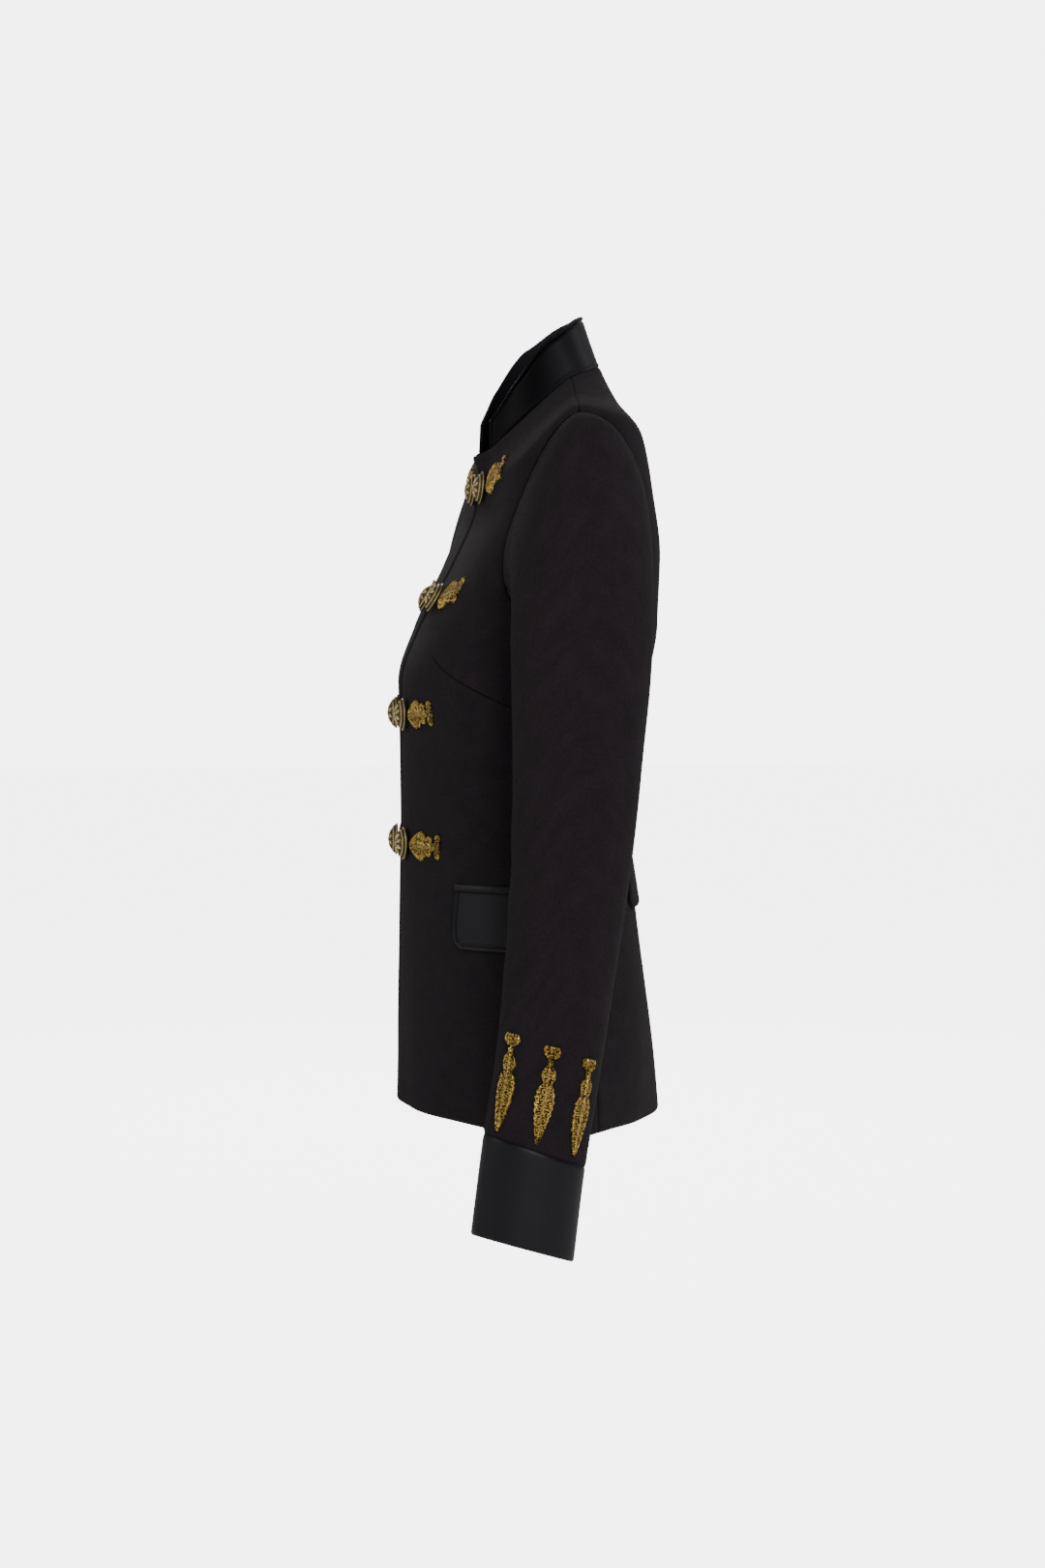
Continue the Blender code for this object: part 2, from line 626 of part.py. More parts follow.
def button_object(name, foot, axis, side, finish):
    """A turned button that stands on a point of the cloth. side is 1 on the left and -1 on the right."""
    profile = button_profile()
    crown = BUTTON_STAND + BUTTON_EDGE + BUTTON_DOME
    count = BUTTON_SEGMENTS
    angles = [2 * math.pi * i / count for i in range(count)]
    vertices = [(r * math.cos(a), r * math.sin(a), z) for r, z in profile for a in angles]
    faces = grid_faces(len(profile), count, True)
    base, top = len(vertices), len(vertices) + 1
    vertices += [(0, 0, LAY_GAP), (0, 0, crown)]
    last = (len(profile) - 1) * count
    faces += [(base, (i + 1) % count, i) for i in range(count)]
    faces += [(top, last + i, last + (i + 1) % count) for i in range(count)]
    made = add_object(name, vertices, faces, finish)
    mirror = np.array([side, 1, 1])
    turned = Vector(axis * mirror).to_track_quat("Z", "Y").to_matrix().to_4x4()
    made.matrix_world = Matrix.Translation(Vector(foot * mirror)) @ turned
    return made


def build_body(finishes):
    """The four panels and the collar. Returns a search tree of the panels of each side, as on the left."""
    front, under, back = front_sheet(False), front_sheet(True), back_sheet()
    sheet_object("front_left", front, finishes["wool"])
    sheet_object("front_right", under, finishes["wool"], side=-1)
    sheet_pair("back", back, finishes["wool"])
    sheet_object("collar", collar_sheet(front[0], back[0]), finishes["satin"])
    return {1: panel_tree(front[0], back[0]), -1: panel_tree(under[0], back[0])}


def build_sleeve(finishes, name, side, sway):
    """A two-piece sleeve, its cuff and the leaves over the cuff."""
    rings = np.concatenate((np.linspace(0, 1, 6)[:-1], np.linspace(1, CUFF_SEAM, 15)))
    upper = sleeve_sheet(HINDARM_SEAM, FOREARM_SEAM, 13, rings, sway)
    under = sleeve_sheet(FOREARM_SEAM, HINDARM_SEAM + 2 * math.pi, 6, rings, sway)
    sheet_object("sleeve_upper_" + name, upper, finishes["wool"], side=side)
    sheet_object("sleeve_under_" + name, under, finishes["wool"], side=side)
    sheet_object("cuff_" + name, cuff_sheet(sway), finishes["satin"], True, side)
    tree = panel_tree(upper[0])
    for leaf_name, angle in SLEEVE_LEAVES:
        leaf = leaf_sheet(sleeve_place(angle, sway), SLEEVE_LEAF_LENGTH, SLEEVE_LEAF_SCALE, tree)
        sheet_object(f"cuff_leaf_{leaf_name}_{name}", leaf, finishes["gold_thread"], side=side)


def build_flaps(finishes, panels):
    end = POCKET_START + POCKET_LENGTH
    below_welt = POCKET_TOP - WELT_HEIGHT - SEAM_GAP
    below_edge = BACK_EDGE_TOP - BACK_EDGE_HEIGHT - SEAM_GAP
    sheet_pair("pocket_welt", patch_sheet(POCKET_START, end, POCKET_TOP, WELT_HEIGHT, 0, 12, 1, 0.0, panels),
               finishes["satin"])
    sheet_pair("pocket_flap", patch_sheet(POCKET_START + 0.001, end - 0.001, below_welt, FLAP_HEIGHT,
                                          FLAP_CORNER, 12, 5, 0.0008, panels), finishes["satin"])
    sheet_object("back_waist_edge", back_patch_sheet(BACK_EDGE_TOP, BACK_EDGE_HEIGHT, 0, 8, 1, 0.0, panels),
                 finishes["wool"])
    sheet_object("back_flap", back_patch_sheet(below_edge, BACK_FLAP_HEIGHT, BACK_FLAP_CORNER, 8, 5,
                                               BACK_FLAP_STAND, panels), finishes["wool"])


def build_trim(finishes, trees):
    for name, button_z, climb in FROG_ROWS:
        turn, ring = (np.array([value]) for value in place_on_body(BUTTON_FROM_CENTRE, button_z))
        axis = body_outward(turn, ring)
        for side_name, side in (("left", 1), ("right", -1)):
            foot = dropped(body_point(turn, ring), axis, trees[side])[0]
            button_object(f"button_{name}_{side_name}", foot, axis[0], side, finishes["gold_metal"])
        leaf = leaf_sheet(frog_place(button_z, climb), FROG_LENGTH, FROG_SCALE, trees[1])
        sheet_pair(f"frog_{name}", leaf, finishes["gold_thread"])


def main():
    for old in list(bpy.data.objects):
        bpy.data.objects.remove(old)
    finishes = {name: material(name) for name in COLOURS}
    trees = build_body(finishes)
    build_sleeve(finishes, "left", 1, 0.0)
    build_sleeve(finishes, "right", -1, RIGHT_SWAY)
    build_flaps(finishes, trees[1])
    build_trim(finishes, trees)


main()
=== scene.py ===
"""Dresses the military blazer: fine cloth shells, worked buttons and gold embroidery over its solids.

Metres, +Z up, the fronts face -Y and the wearer's left is +X. The body is one smooth surface of closed
rings, and every panel, flap and leaf is a stretch of that surface or is laid on it.
"""

import math

import bmesh
import bpy
import numpy as np
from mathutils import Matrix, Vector


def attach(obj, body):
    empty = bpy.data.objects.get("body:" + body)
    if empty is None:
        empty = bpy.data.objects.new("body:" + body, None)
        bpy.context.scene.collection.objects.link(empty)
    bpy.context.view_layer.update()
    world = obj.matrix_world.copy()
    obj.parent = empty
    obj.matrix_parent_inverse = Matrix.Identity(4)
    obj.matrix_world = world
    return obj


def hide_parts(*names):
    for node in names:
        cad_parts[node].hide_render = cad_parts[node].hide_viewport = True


bl_info = {
    "name": "Military blazer",
    "version": (1, 0, 0),
    "blender": (4, 5, 0),
    "location": "View3D > Sidebar > Blazer",
    "description": "Builds the cloth, buttons, embroidery and stage of a fitted military blazer",
    "category": "Object",
}

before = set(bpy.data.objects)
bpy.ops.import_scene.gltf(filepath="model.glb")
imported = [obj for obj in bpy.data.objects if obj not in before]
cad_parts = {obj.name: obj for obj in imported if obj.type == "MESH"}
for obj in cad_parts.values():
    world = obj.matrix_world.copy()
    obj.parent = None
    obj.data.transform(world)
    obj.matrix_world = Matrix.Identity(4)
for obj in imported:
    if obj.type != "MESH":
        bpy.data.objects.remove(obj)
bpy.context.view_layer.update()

# Seams and laps, as on the solids
LAP = 0.006
UNDER_STEP = 0.0032
UNDER_FLAT = 0.010
UNDER_END = 0.020
CORNER_FLARE = 0.005
CORNER_REACH = 0.034
CORNER_FOOT_Z = -0.0895
CORNER_TOP_Z = -0.076

# Armhole, on the rings from underarm to shoulder tip
UNDERARM_RING = 6.0
SHOULDER_RING = 9.0
NECK_RING = 11.0
ARMHOLE_FRONT = 0.78
ARMHOLE_BACK = 0.66
ARMHOLE_ROUND = 2.2
SIDE_SEAM_HEM = 106.0
SIDE_SEAM_UNDERARM = 90.0

# Rings of the body: the widest point of the side, the centre front and the centre back
BODY_COLUMNS = ("side_x", "side_y", "side_z", "front_y", "front_z", "back_y", "back_z",
                "front_round", "back_round", "rise")
BODY_RINGS = (
    ("hem", 0.184, 0.002, -0.6070, -0.1090, -0.6045, 0.1085, -0.6125, 1.55, 1.50, 2.5),
    ("hip", 0.172, 0.001, -0.5120, -0.1055, -0.5130, 0.0940, -0.5180, 2.00, 2.05, 1.5),
    ("pocket", 0.156, 0.000, -0.4290, -0.1045, -0.4280, 0.0830, -0.4320, 2.10, 2.20, 1.0),
    ("waist", 0.143, 0.000, -0.3700, -0.1035, -0.3680, 0.0765, -0.3720, 2.20, 2.30, 1.0),
    ("under_bust", 0.150, 0.002, -0.3150, -0.1035, -0.3120, 0.0755, -0.3180, 2.35, 2.40, 1.0),
    ("bust", 0.161, 0.006, -0.2620, -0.1035, -0.2620, 0.0890, -0.2620, 2.60, 2.60, 1.0),
    ("underarm", 0.160, 0.011, -0.2120, -0.0880, -0.2150, 0.0975, -0.2120, 3.00, 2.80, 1.3),
    ("mid_armhole", 0.166, 0.014, -0.1500, -0.0610, -0.1650, 0.0975, -0.1600, 3.40, 3.00, 1.5),
    ("high_armhole", 0.176, 0.013, -0.0950, -0.0420, -0.1220, 0.0895, -0.1100, 3.40, 3.00, 1.6),
    ("shoulder_tip", 0.187, 0.010, -0.0520, -0.0382, -0.1000, 0.0800, -0.0700, 3.20, 2.90, 1.6),
    ("mid_shoulder", 0.130, 0.017, -0.0330, -0.0380, -0.0900, 0.0660, -0.0360, 2.70, 2.50, 1.3),
    ("neck", 0.070, 0.024, -0.0155, -0.0402, -0.0755, 0.0565, -0.0030, 2.20, 2.20, 1.10),
)

# Rings of a sleeve below its cap
SLEEVE_COLUMNS = ("x", "y", "z", "half_side", "half_depth", "front_lift", "side_lift")
SLEEVE_RINGS = (
    ("bicep", 0.2090, 0.0080, -0.225, 0.0415, 0.0540, 0.00, 0.00),
    ("upper_arm", 0.2115, 0.0060, -0.300, 0.0405, 0.0505, 0.00, 0.00),
    ("elbow", 0.2165, 0.0000, -0.385, 0.0385, 0.0460, 0.06, 0.00),
    ("forearm", 0.2225, -0.0110, -0.480, 0.0355, 0.0415, 0.16, 0.03),
    ("wrist", 0.2275, -0.0215, -0.552, 0.0335, 0.0390, 0.28, 0.06),
    ("cuff_seam", 0.2310, -0.0315, -0.607, 0.0310, 0.0385, 0.36, 0.10),
    ("cuff_edge", 0.2350, -0.0415, -0.680, 0.0290, 0.0390, 0.30, 0.15),
)
RIGHT_SWAY = 0.078
CUFF_SEAM = 6.0
CUFF_EDGE = 7.0
CAP_LIFT = 0.004
FOREARM_SEAM = math.radians(128)
HINDARM_SEAM = math.radians(-112)

# Collar: place in degrees round the neck from the centre back, then how its top edge stands from its foot
COLLAR_COLUMNS = ("in_x", "y", "up")
COLLAR_STANDS = (
    ("centre_back", 0.0, 0.000, -0.0115, 0.0415),
    ("back_side", 45.0, 0.006, -0.0165, 0.0390),
    ("shoulder_seam", 90.0, 0.008, -0.0160, 0.0310),
    ("side_front", 125.0, 0.009, -0.0070, 0.0265),
    ("front_side", 145.0, 0.007, -0.0010, 0.0240),
    ("front_end", 160.0, 0.003, 0.0010, 0.0220),
)

# Pocket flap and welt, back flap and its edge
POCKET_START = 0.118
POCKET_LENGTH = 0.112
POCKET_TOP = -0.4165
WELT_HEIGHT = 0.0055
FLAP_HEIGHT = 0.0440
FLAP_CORNER = 0.014
FLAP_STAND = 0.0008
BACK_FLAP_HALF = 0.090
BACK_EDGE_TOP = -0.3800
BACK_EDGE_HEIGHT = 0.0080
BACK_FLAP_HEIGHT = 0.0500
BACK_FLAP_STAND = 0.0014
BACK_FLAP_CORNER = 0.010

# Buttons and the leaves beside them
BUTTON_FROM_CENTRE = 0.024
BUTTON_STAND = 0.0024
BUTTON_EDGE = 0.0010
SHANK_RADIUS = 0.0034
ROWS = (
    ("top", -0.1030, 0.0140),
    ("second", -0.1930, 0.0070),
    ("third", -0.2860, 0.0035),
    ("bottom", -0.3910, 0.0020),
)
FROG_START = 0.0385
FROG_LENGTH = 0.056
FROG_SCALE = 1.25
SLEEVE_LEAF_LENGTH = 0.072
SLEEVE_LEAF_FOOT = 0.006
SLEEVE_LEAF_SCALE = 0.82
SLEEVE_LEAVES = (("front", 0.95), ("middle", 0.12), ("back", -0.66))
LEAF_OUTLINE = (
    (0.000, 0.0066), (0.035, 0.0084), (0.095, 0.0078), (0.120, 0.0026), (0.200, 0.0022),
    (0.240, 0.0062), (0.320, 0.0070), (0.380, 0.0040), (0.440, 0.0082), (0.560, 0.0094),
    (0.700, 0.0080), (0.840, 0.0052), (0.940, 0.0030), (1.000, 0.0012),
)

# Bust dart, on the flat front: distance from the lap's edge and height
DART_POINT = (0.096, -0.238, 0.0)
DART_END = (0.188, -0.278, 0.0)

# How far a tube's first row is drawn back under its neighbour, and how deep it lies there
SLEEVE_TUCK = (0.0026, 0.0011)
CUFF_TUCK = (0.0015, 0.0005)

# Foot of the collar below the neck seam, as a share of its stand: all round, then more at the front end, how
# far back from that end this goes, and how deep the foot lies
COLLAR_FOOT = 0.024
COLLAR_FOOT_FRONT = 0.11
COLLAR_FOOT_REACH = 0.030
COLLAR_TUCK = 0.0011
COLLAR_HEIGHT = 0.042

# Piped edge: place in from the edge, height and width of the cord, of the rolled edge and of the groove
PIPING_CORD = (0.0014, 0.0006, 0.0011)
PIPING_EDGE = (0.0, 0.0005, 0.0005)
PIPING_GROOVE = (0.0034, 0.0010, 0.0009)
# Place in from the collar's edge of the groove that is darkened with painted shade
COLLAR_GROOVE = 0.0033

# Gap between a flap and what it lies on or hangs from, how far its sides are in from its welt's, its width
LAID_GAP = 0.0004
FLAP_INSET = 0.001
FLAP_WIDTH = 0.11

# Sizes that turn steps in metres into steps in turns or rings
SLEEVE_RADIUS = 0.045
CUFF_LENGTH = 0.073

# Rows and columns of the grids, apart from the fine steps at their edges
SKIRT_ROWS = 110
ARMHOLE_ROWS = 50
YOKE_ROWS = 28
FRONT_COLUMNS = 78
BACK_COLUMNS = 64
CAP_ROWS = 31
SLEEVE_ROWS = 110
UPPER_SLEEVE_COLUMNS = 78
UNDER_SLEEVE_COLUMNS = 40
CUFF_GRID = (24, 110)
COLLAR_GRID = (34, 84)
WELT_GRID = (12, 90)
FLAP_GRID = (30, 76)
FLAP_CORNER_ROWS = 20
BACK_EDGE_GRID = (14, 70)
BACK_FLAP_GRID = (36, 50)
LEAF_GRID = (150, 33)
BUTTON_COLUMNS = 160
BUTTON_RIM_ROWS = 8
BUTTON_DOME_ROWS = 47

# Painted shade in a seam: how dark the cloth is made there, as a share of its colour
SEAM_PAINTED_SHADE = 0.14

# Painted light on the collar's satin: two places along Y, its share of the colour there, and what its inner
# side adds
COLLAR_PAINTED_LIGHT_PLACES = (-0.010, 0.050)
COLLAR_PAINTED_LIGHT_SHARES = (0.25, 1.9)
COLLAR_INSIDE_PAINTED_LIGHT = 1.3

# Depth of the bump of a weave and of worked gold
WEAVE_DEPTH = 0.0003
GRAIN_DEPTH = 0.0002

# Gold finishes: colour of the low parts, painted shade together with tarnish, grain, grains in a metre, how
# metallic, strength of the bump
GOLD_FINISHES = {
    "gold_metal": ((0.055, 0.039, 0.014), 0.8, 1300, 1.0, 0.15),
    "gold_thread": ((0.010, 0.006, 0.0012), 4.2, 700, 0.92, 1.0),
}

# Steps in from a cut edge, so that its seam's dip or its piping is smooth
EDGE_STEPS = (0.0, 0.0007, 0.0015, 0.0026, 0.0042)
PIPED_STEPS = (0.0, 0.0005, 0.0010, 0.0016, 0.0022, 0.0027, 0.0032, 0.0037, 0.0044, 0.0056, 0.0075)

# Camera of the photograph, and the floor
CAMERA_TARGET = (0.0, -0.004, -0.345)
CAMERA_AZIMUTH = 81.0
CAMERA_HEIGHT = 3.5
CAMERA_DISTANCE = 2.4
CAMERA_LENS = 66.67
CAMERA_SENSOR = 36.0
FLOOR_Z = -0.99
FLOOR_REACH = 12.0
FLOOR_SHARE = 0.9

# Studio lights: place, size and share of the main power
STUDIO_LIGHTS = (
    ("side", (2.7, 0.35, 0.75), 1.3, 1.05),
    ("rear", (-0.3, 2.7, 1.0), 1.4, 0.45),
    ("front", (0.3, -2.7, 0.8), 1.4, 0.42),
    ("far", (-2.7, 0.2, 0.9), 1.8, 0.9),
)
LIGHT_TARGET = (0.0, 0.0, -0.33)


# Shapes shared with the solids


def smooth_column(values, at):
    """Monotone cubic through values at 0, 1, 2 and so on: slopes are harmonic means of the steps."""
    values = np.asarray(values, float)
    steps = np.diff(values)
    inner = np.where(steps[:-1] * steps[1:] > 0,
                     2 * steps[:-1] * steps[1:] / (steps[:-1] + steps[1:] + 1e-15), 0.0)
    slopes = np.concatenate(([steps[0]], inner, [steps[-1]]))
    at = np.clip(np.asarray(at, float), 0, len(values) - 1)
    left = np.minimum(at.astype(int), len(values) - 2)
    u = at - left
    return (values[left] * (1 + 2 * u) * (1 - u) ** 2 + slopes[left] * u * (1 - u) ** 2
            + values[left + 1] * u ** 2 * (3 - 2 * u) - slopes[left + 1] * u ** 2 * (1 - u))


def smooth_step(share):
    """A smooth rise from 0 to 1: three squares less two cubes."""
    share = np.clip(share, 0, 1)
    return share * share * (3 - 2 * share)


def hump(distance, width):
    """A bell that is 1 at distance 0."""
    return np.exp(-(distance / width) ** 2)


def table_at(columns, rows, at):
    """One smooth value of each named column at the ring number."""
    return {name: smooth_column([row[i + 1] for row in rows], at) for i, name in enumerate(columns)}


def body_plain(turn, ring):
    """Ring by ring, a rounded box: the direction's cosine and sine over their own power mean. turn is 0 at
    the centre front and a half at the centre back."""
    turn, ring = np.broadcast_arrays(np.asarray(turn, float), np.asarray(ring, float))
    row = table_at(BODY_COLUMNS, BODY_RINGS, ring)
    ahead, aside = np.cos(turn), np.sin(turn)
    front = ahead >= 0
    power = np.where(front, row["front_round"], row["back_round"])
    reach = (np.abs(ahead) ** power + np.abs(aside) ** power) ** (1 / power)
    along = np.abs(ahead) / reach
    x = row["side_x"] * aside / reach
    y = row["side_y"] + along * (np.where(front, row["front_y"], row["back_y"]) - row["side_y"])
    z = row["side_z"] + along ** row["rise"] * (
        np.where(front, row["front_z"], row["back_z"]) - row["side_z"])
    return np.stack([x, y, z], -1)


def outward(surface, p, q, p_step, q_step):
    """Unit normal: the cross product of the surface's slopes both ways."""
    along_p = surface(p + p_step, q) - surface(p - p_step, q)
    along_q = surface(p, q + q_step) - surface(p, q - q_step)
    normal = np.cross(along_p, along_q)
    return normal / np.linalg.norm(normal, axis=-1, keepdims=True)


def body_swell(turn, height):
    """Soft creases of the worn body: slow waves round the skirt that grow towards the hem, short pulls at
    the side of the waist, one drag below each armhole, front and back, and hollows beside the spine."""
    turn = np.abs(turn)
    depth = bpy.context.scene.blazer_cloth.fold_depth
    skirt = smooth_step((-0.40 - height) / 0.19)
    waves = 0.62 * np.sin(5.3 * turn + 0.5 + 1.6 * height) + 0.38 * np.sin(9.7 * turn + 2.1 - 4.0 * height)
    folds = skirt * waves * smooth_step(turn / 0.35)
    waist = hump(height + 0.372, 0.030) * hump(turn - 1.60, 0.50)
    pulls = 0.40 * waist * np.sin(height * 265 + 2.6 * turn)
    chest = hump(turn - 1.02 - 0.9 * (height + 0.20), 0.10) * hump(height + 0.215, 0.060)
    blade = hump(turn - 2.22 + 0.7 * (height + 0.22), 0.12) * hump(height + 0.240, 0.075)
    spine = hump(turn - 2.86, 0.10) * hump(height + 0.36, 0.09)
    return depth * (folds + pulls - 0.55 * chest - 0.65 * blade - 0.5 * spine)


def body_face(turn, ring):
    """Points of the creased outer face of the body and its normals."""
    turn, ring = np.broadcast_arrays(np.asarray(turn, float), np.asarray(ring, float))
    points = body_plain(turn, ring)
    normals = outward(body_plain, turn, ring, 0.03, 0.06)
    return points + normals * body_swell(turn, points[..., 2])[..., None], normals


def run_lengths(points, axis):
    """Distance along a grid's rows or columns from its first point."""
    steps = np.linalg.norm(np.diff(points, axis=axis), axis=-1)
    zero = np.zeros_like(np.take(steps, [0], axis=axis))
    return np.concatenate((zero, np.cumsum(steps, axis=axis)), axis=axis)


def ring_run(ring, start, end, samples=321):
    """Turns between two turns of a ring, and their arc lengths from the first."""
    dense = np.linspace(start, end, samples)
    return dense, run_lengths(body_plain(dense, np.full(samples, ring)), 0)


def turn_at_arc(ring, arc):
    """The turn that lies an arc length from the centre front along a ring."""
    dense, length = ring_run(ring, -0.5, math.pi)
    return float(np.interp(arc + np.interp(0.0, dense, length), length, dense))


def armhole_turn(ring, toward_front):
    """Where the armhole's edge crosses a ring: an oval about the side, widest halfway up."""
    middle = (SHOULDER_RING + UNDERARM_RING) / 2
    share = abs(ring - middle) / (SHOULDER_RING - middle)
    width = max(0.0, 1 - share ** ARMHOLE_ROUND) ** (1 / ARMHOLE_ROUND)
    row = table_at(BODY_COLUMNS, BODY_RINGS, ring)
    power = row["front_round"] if toward_front else row["back_round"]
    reach = (ARMHOLE_FRONT if toward_front else ARMHOLE_BACK) * width
    turn = math.atan2((1 - reach ** power) ** (1 / power), reach)
    return turn if toward_front else math.pi - turn


def panel_end(ring, toward_front):
    """The side seam below the arm, the armhole's edge beside it and the shoulder seam above it."""
    if ring <= UNDERARM_RING or ring >= SHOULDER_RING:
        share = float(smooth_step(min(1.0, ring / UNDERARM_RING)))
        return math.radians(SIDE_SEAM_HEM + (SIDE_SEAM_UNDERARM - SIDE_SEAM_HEM) * share)
    return armhole_turn(ring, toward_front)


def edged(length, count, steps=EDGE_STEPS):
    """Distances from 0 to length: fine steps in from both ends and even ones between."""
    steps = np.array(steps)
    middle = np.linspace(steps[-1], length - steps[-1], count)
    return np.concatenate((steps[:-1], middle, length - steps[-2::-1]))


def panel_rings():
    """Ring numbers of a panel's rows, closer together at the hem, along the armhole and at the neck."""
    hem = np.array([0.0, 0.008, 0.018, 0.032])
    skirt = np.linspace(0.05, UNDERARM_RING, SKIRT_ROWS)
    turn = np.linspace(0, math.pi, ARMHOLE_ROWS)
    armhole = UNDERARM_RING + (1 - np.cos(turn)) / 2 * (SHOULDER_RING - UNDERARM_RING)
    yoke = np.linspace(SHOULDER_RING, NECK_RING - 0.09, YOKE_ROWS)
    return np.concatenate((hem, skirt[:-1], armhole[:-1], yoke, [10.95, 10.98, NECK_RING]))


PANEL_RINGS = panel_rings()


def armhole_run(toward_front):
    """The armhole's edge from the shoulder tip down to the underarm, and each point's share of its length."""
    rings = PANEL_RINGS[(PANEL_RINGS >= UNDERARM_RING) & (PANEL_RINGS <= SHOULDER_RING)][::-1]
    turns = np.array([panel_end(ring, toward_front) for ring in rings])
    points = body_plain(turns, rings)
    length = run_lengths(points, 0)
    return points, length / length[-1]


ARMHOLES = {side: armhole_run(side) for side in (True, False)}


def armhole_point(angle):
    """A point of the armhole's edge: angle 0 is the shoulder tip, a half turn the underarm."""
    result = np.empty(angle.shape + (3,))
    for toward_front, (points, share) in ARMHOLES.items():
        chosen = (angle >= 0) == toward_front
        for axis in range(3):
            result[chosen, axis] = np.interp(np.abs(angle[chosen]) / math.pi, share, points[:, axis])
    return result


def sleeve_tube(angle, ring, sway):
    """The sleeve below its cap: oval rings whose front edge sits higher than the back one."""
    row = table_at(SLEEVE_COLUMNS, SLEEVE_RINGS, ring - 1)
    ahead = row["half_depth"] * np.sin(angle)
    x = row["x"] + row["half_side"] * np.cos(angle)
    drop = SLEEVE_RINGS[0][3] - row["z"]
    share = np.clip(drop / (SLEEVE_RINGS[0][3] - SLEEVE_RINGS[-1][3]), 0, 1)
    lift = row["side_lift"] * (x - row["x"]) + (row["front_lift"] - sway * share * 3.0) * ahead
    return np.stack([x, row["y"] + sway * share ** 1.5 - ahead, row["z"] + lift], -1)


def sleeve_plain(angle, ring, sway=0.0):
    """The left sleeve: rings 0 to 1 are the cap, a curve from the armhole over a knee into the tube below.
    angle 0 faces away from the body and a quarter turn faces front."""
    angle, ring = np.broadcast_arrays(np.asarray(angle, float), np.asarray(ring, float))
    angle = np.mod(angle + math.pi, 2 * math.pi) - math.pi
    start, end = armhole_point(angle), sleeve_tube(angle, np.ones_like(ring), sway)
    crown = np.clip(np.cos(angle), 0, 1)
    knee = np.stack([end[..., 0] - 0.004 * crown, (start[..., 1] + end[..., 1]) / 2,
                     start[..., 2] - 0.002 + CAP_LIFT * crown], -1)
    share = np.clip(ring, 0, 1)[..., None]
    cap = start * (1 - share) ** 2 + knee * 2 * share * (1 - share) + end * share ** 2
    return np.where((ring < 1)[..., None], cap, sleeve_tube(angle, np.maximum(ring, 1), sway))


def sleeve_swell(angle, ring):
    """Soft creases of a sleeve: long drags down from the cap, short folds on the inside of the elbow, and
    easing puckers where the cap is set in."""
    depth = bpy.context.scene.blazer_cloth.fold_depth
    front = hump(np.mod(angle - 1.25 + math.pi, 2 * math.pi) - math.pi, 0.85)
    back = hump(np.mod(angle + 1.45 + math.pi, 2 * math.pi) - math.pi, 0.55)
    elbow = front * hump(ring - 3.35, 0.62) * np.sin(10.5 * ring + 1.9 * angle)
    drag = back * hump(ring - 1.7, 0.75) * np.sin(5.0 * angle + 2.4 * ring)
    long_wave = smooth_step((ring - 0.9) / 0.8) * smooth_step((6.0 - ring) / 1.2)
    waves = long_wave * np.sin(3.0 * angle + 0.55 * ring + 0.6) * 0.28
    easing = hump(ring - 0.10, 0.10) * np.sin(31 * angle) * smooth_step(np.cos(angle) * 2 + 1) * 0.10
    return depth * (0.42 * elbow + 0.5 * drag + waves + easing)


def sleeve_face(angle, ring, sway):
    """Points of the creased outer face of a sleeve and its normals."""
    points = sleeve_plain(angle, ring, sway)
    normals = outward(lambda p, q: sleeve_plain(p, q, sway), angle, np.clip(ring, 0.05, CUFF_EDGE - 0.05),
                      0.04, 0.04)
    return points + normals * sleeve_swell(angle, ring)[..., None], normals


# Places on the body by arc length and height


def body_map(rings=200, arcs=220, reach=0.60):
    """Turn, height and half girth over ring numbers and arc lengths from the centre front."""
    ring_numbers = np.linspace(0, NECK_RING, rings)
    arc_lengths = np.linspace(-0.02, reach, arcs)
    turns, girths = np.empty((rings, arcs)), np.empty(rings)
    for index, ring in enumerate(ring_numbers):
        dense, length = ring_run(ring, -0.5, math.pi + 1.0, 600)
        length = length - np.interp(0.0, dense, length)
        turns[index] = np.interp(arc_lengths, length, dense)
        girths[index] = np.interp(math.pi, dense, length)
    heights = body_plain(turns, np.broadcast_to(ring_numbers[:, None], turns.shape))[..., 2]
    return ring_numbers, arc_lengths, turns, heights, girths


BODY_MAP = body_map()


def body_places(arc, height):
    """Turn and ring of the points at arc lengths from the centre front and at heights: the map's column is
    blended from its neighbours, and the ring is read off where that column reaches the height."""
    rings, arcs, turns, heights, _ = BODY_MAP
    arc, height = np.broadcast_arrays(np.asarray(arc, float), np.asarray(height, float))
    shape = arc.shape
    arc, height = arc.ravel(), height.ravel()
    at = np.clip((arc - arcs[0]) / (arcs[1] - arcs[0]), 0, len(arcs) - 1.001)
    left = at.astype(int)
    part = at - left
    column = heights[:, left] * (1 - part) + heights[:, left + 1] * part
    low = np.clip((column < height).sum(0) - 1, 0, len(rings) - 2)
    every = np.arange(len(arc))
    rise = (height - column[low, every]) / (column[low + 1, every] - column[low, every])
    ring = rings[low] + rise * (rings[1] - rings[0])
    lower = turns[low, left] * (1 - part) + turns[low, left + 1] * part
    upper = turns[low + 1, left] * (1 - part) + turns[low + 1, left + 1] * part
    return (lower + (upper - lower) * rise).reshape(shape), ring.reshape(shape)


def girth_at(height):
    """Length of the half ring whose centre back is at a height."""
    rings, _, _, _, girths = BODY_MAP
    back = body_plain(np.full(len(rings), math.pi), rings)[:, 2]
    return np.interp(height, back, girths)


# Meshes


def grid_quads(rows, columns, wrap=False):
    """Corner numbers of a grid's faces; wrap joins its last column to its first."""
    row, column = np.meshgrid(np.arange(rows - 1), np.arange(columns - (not wrap)), indexing="ij")
    beside = (column + 1) % columns
    here, there = row * columns + column, row * columns + beside
    return np.stack([here, there, there + columns, here + columns], -1).reshape(-1, 4)


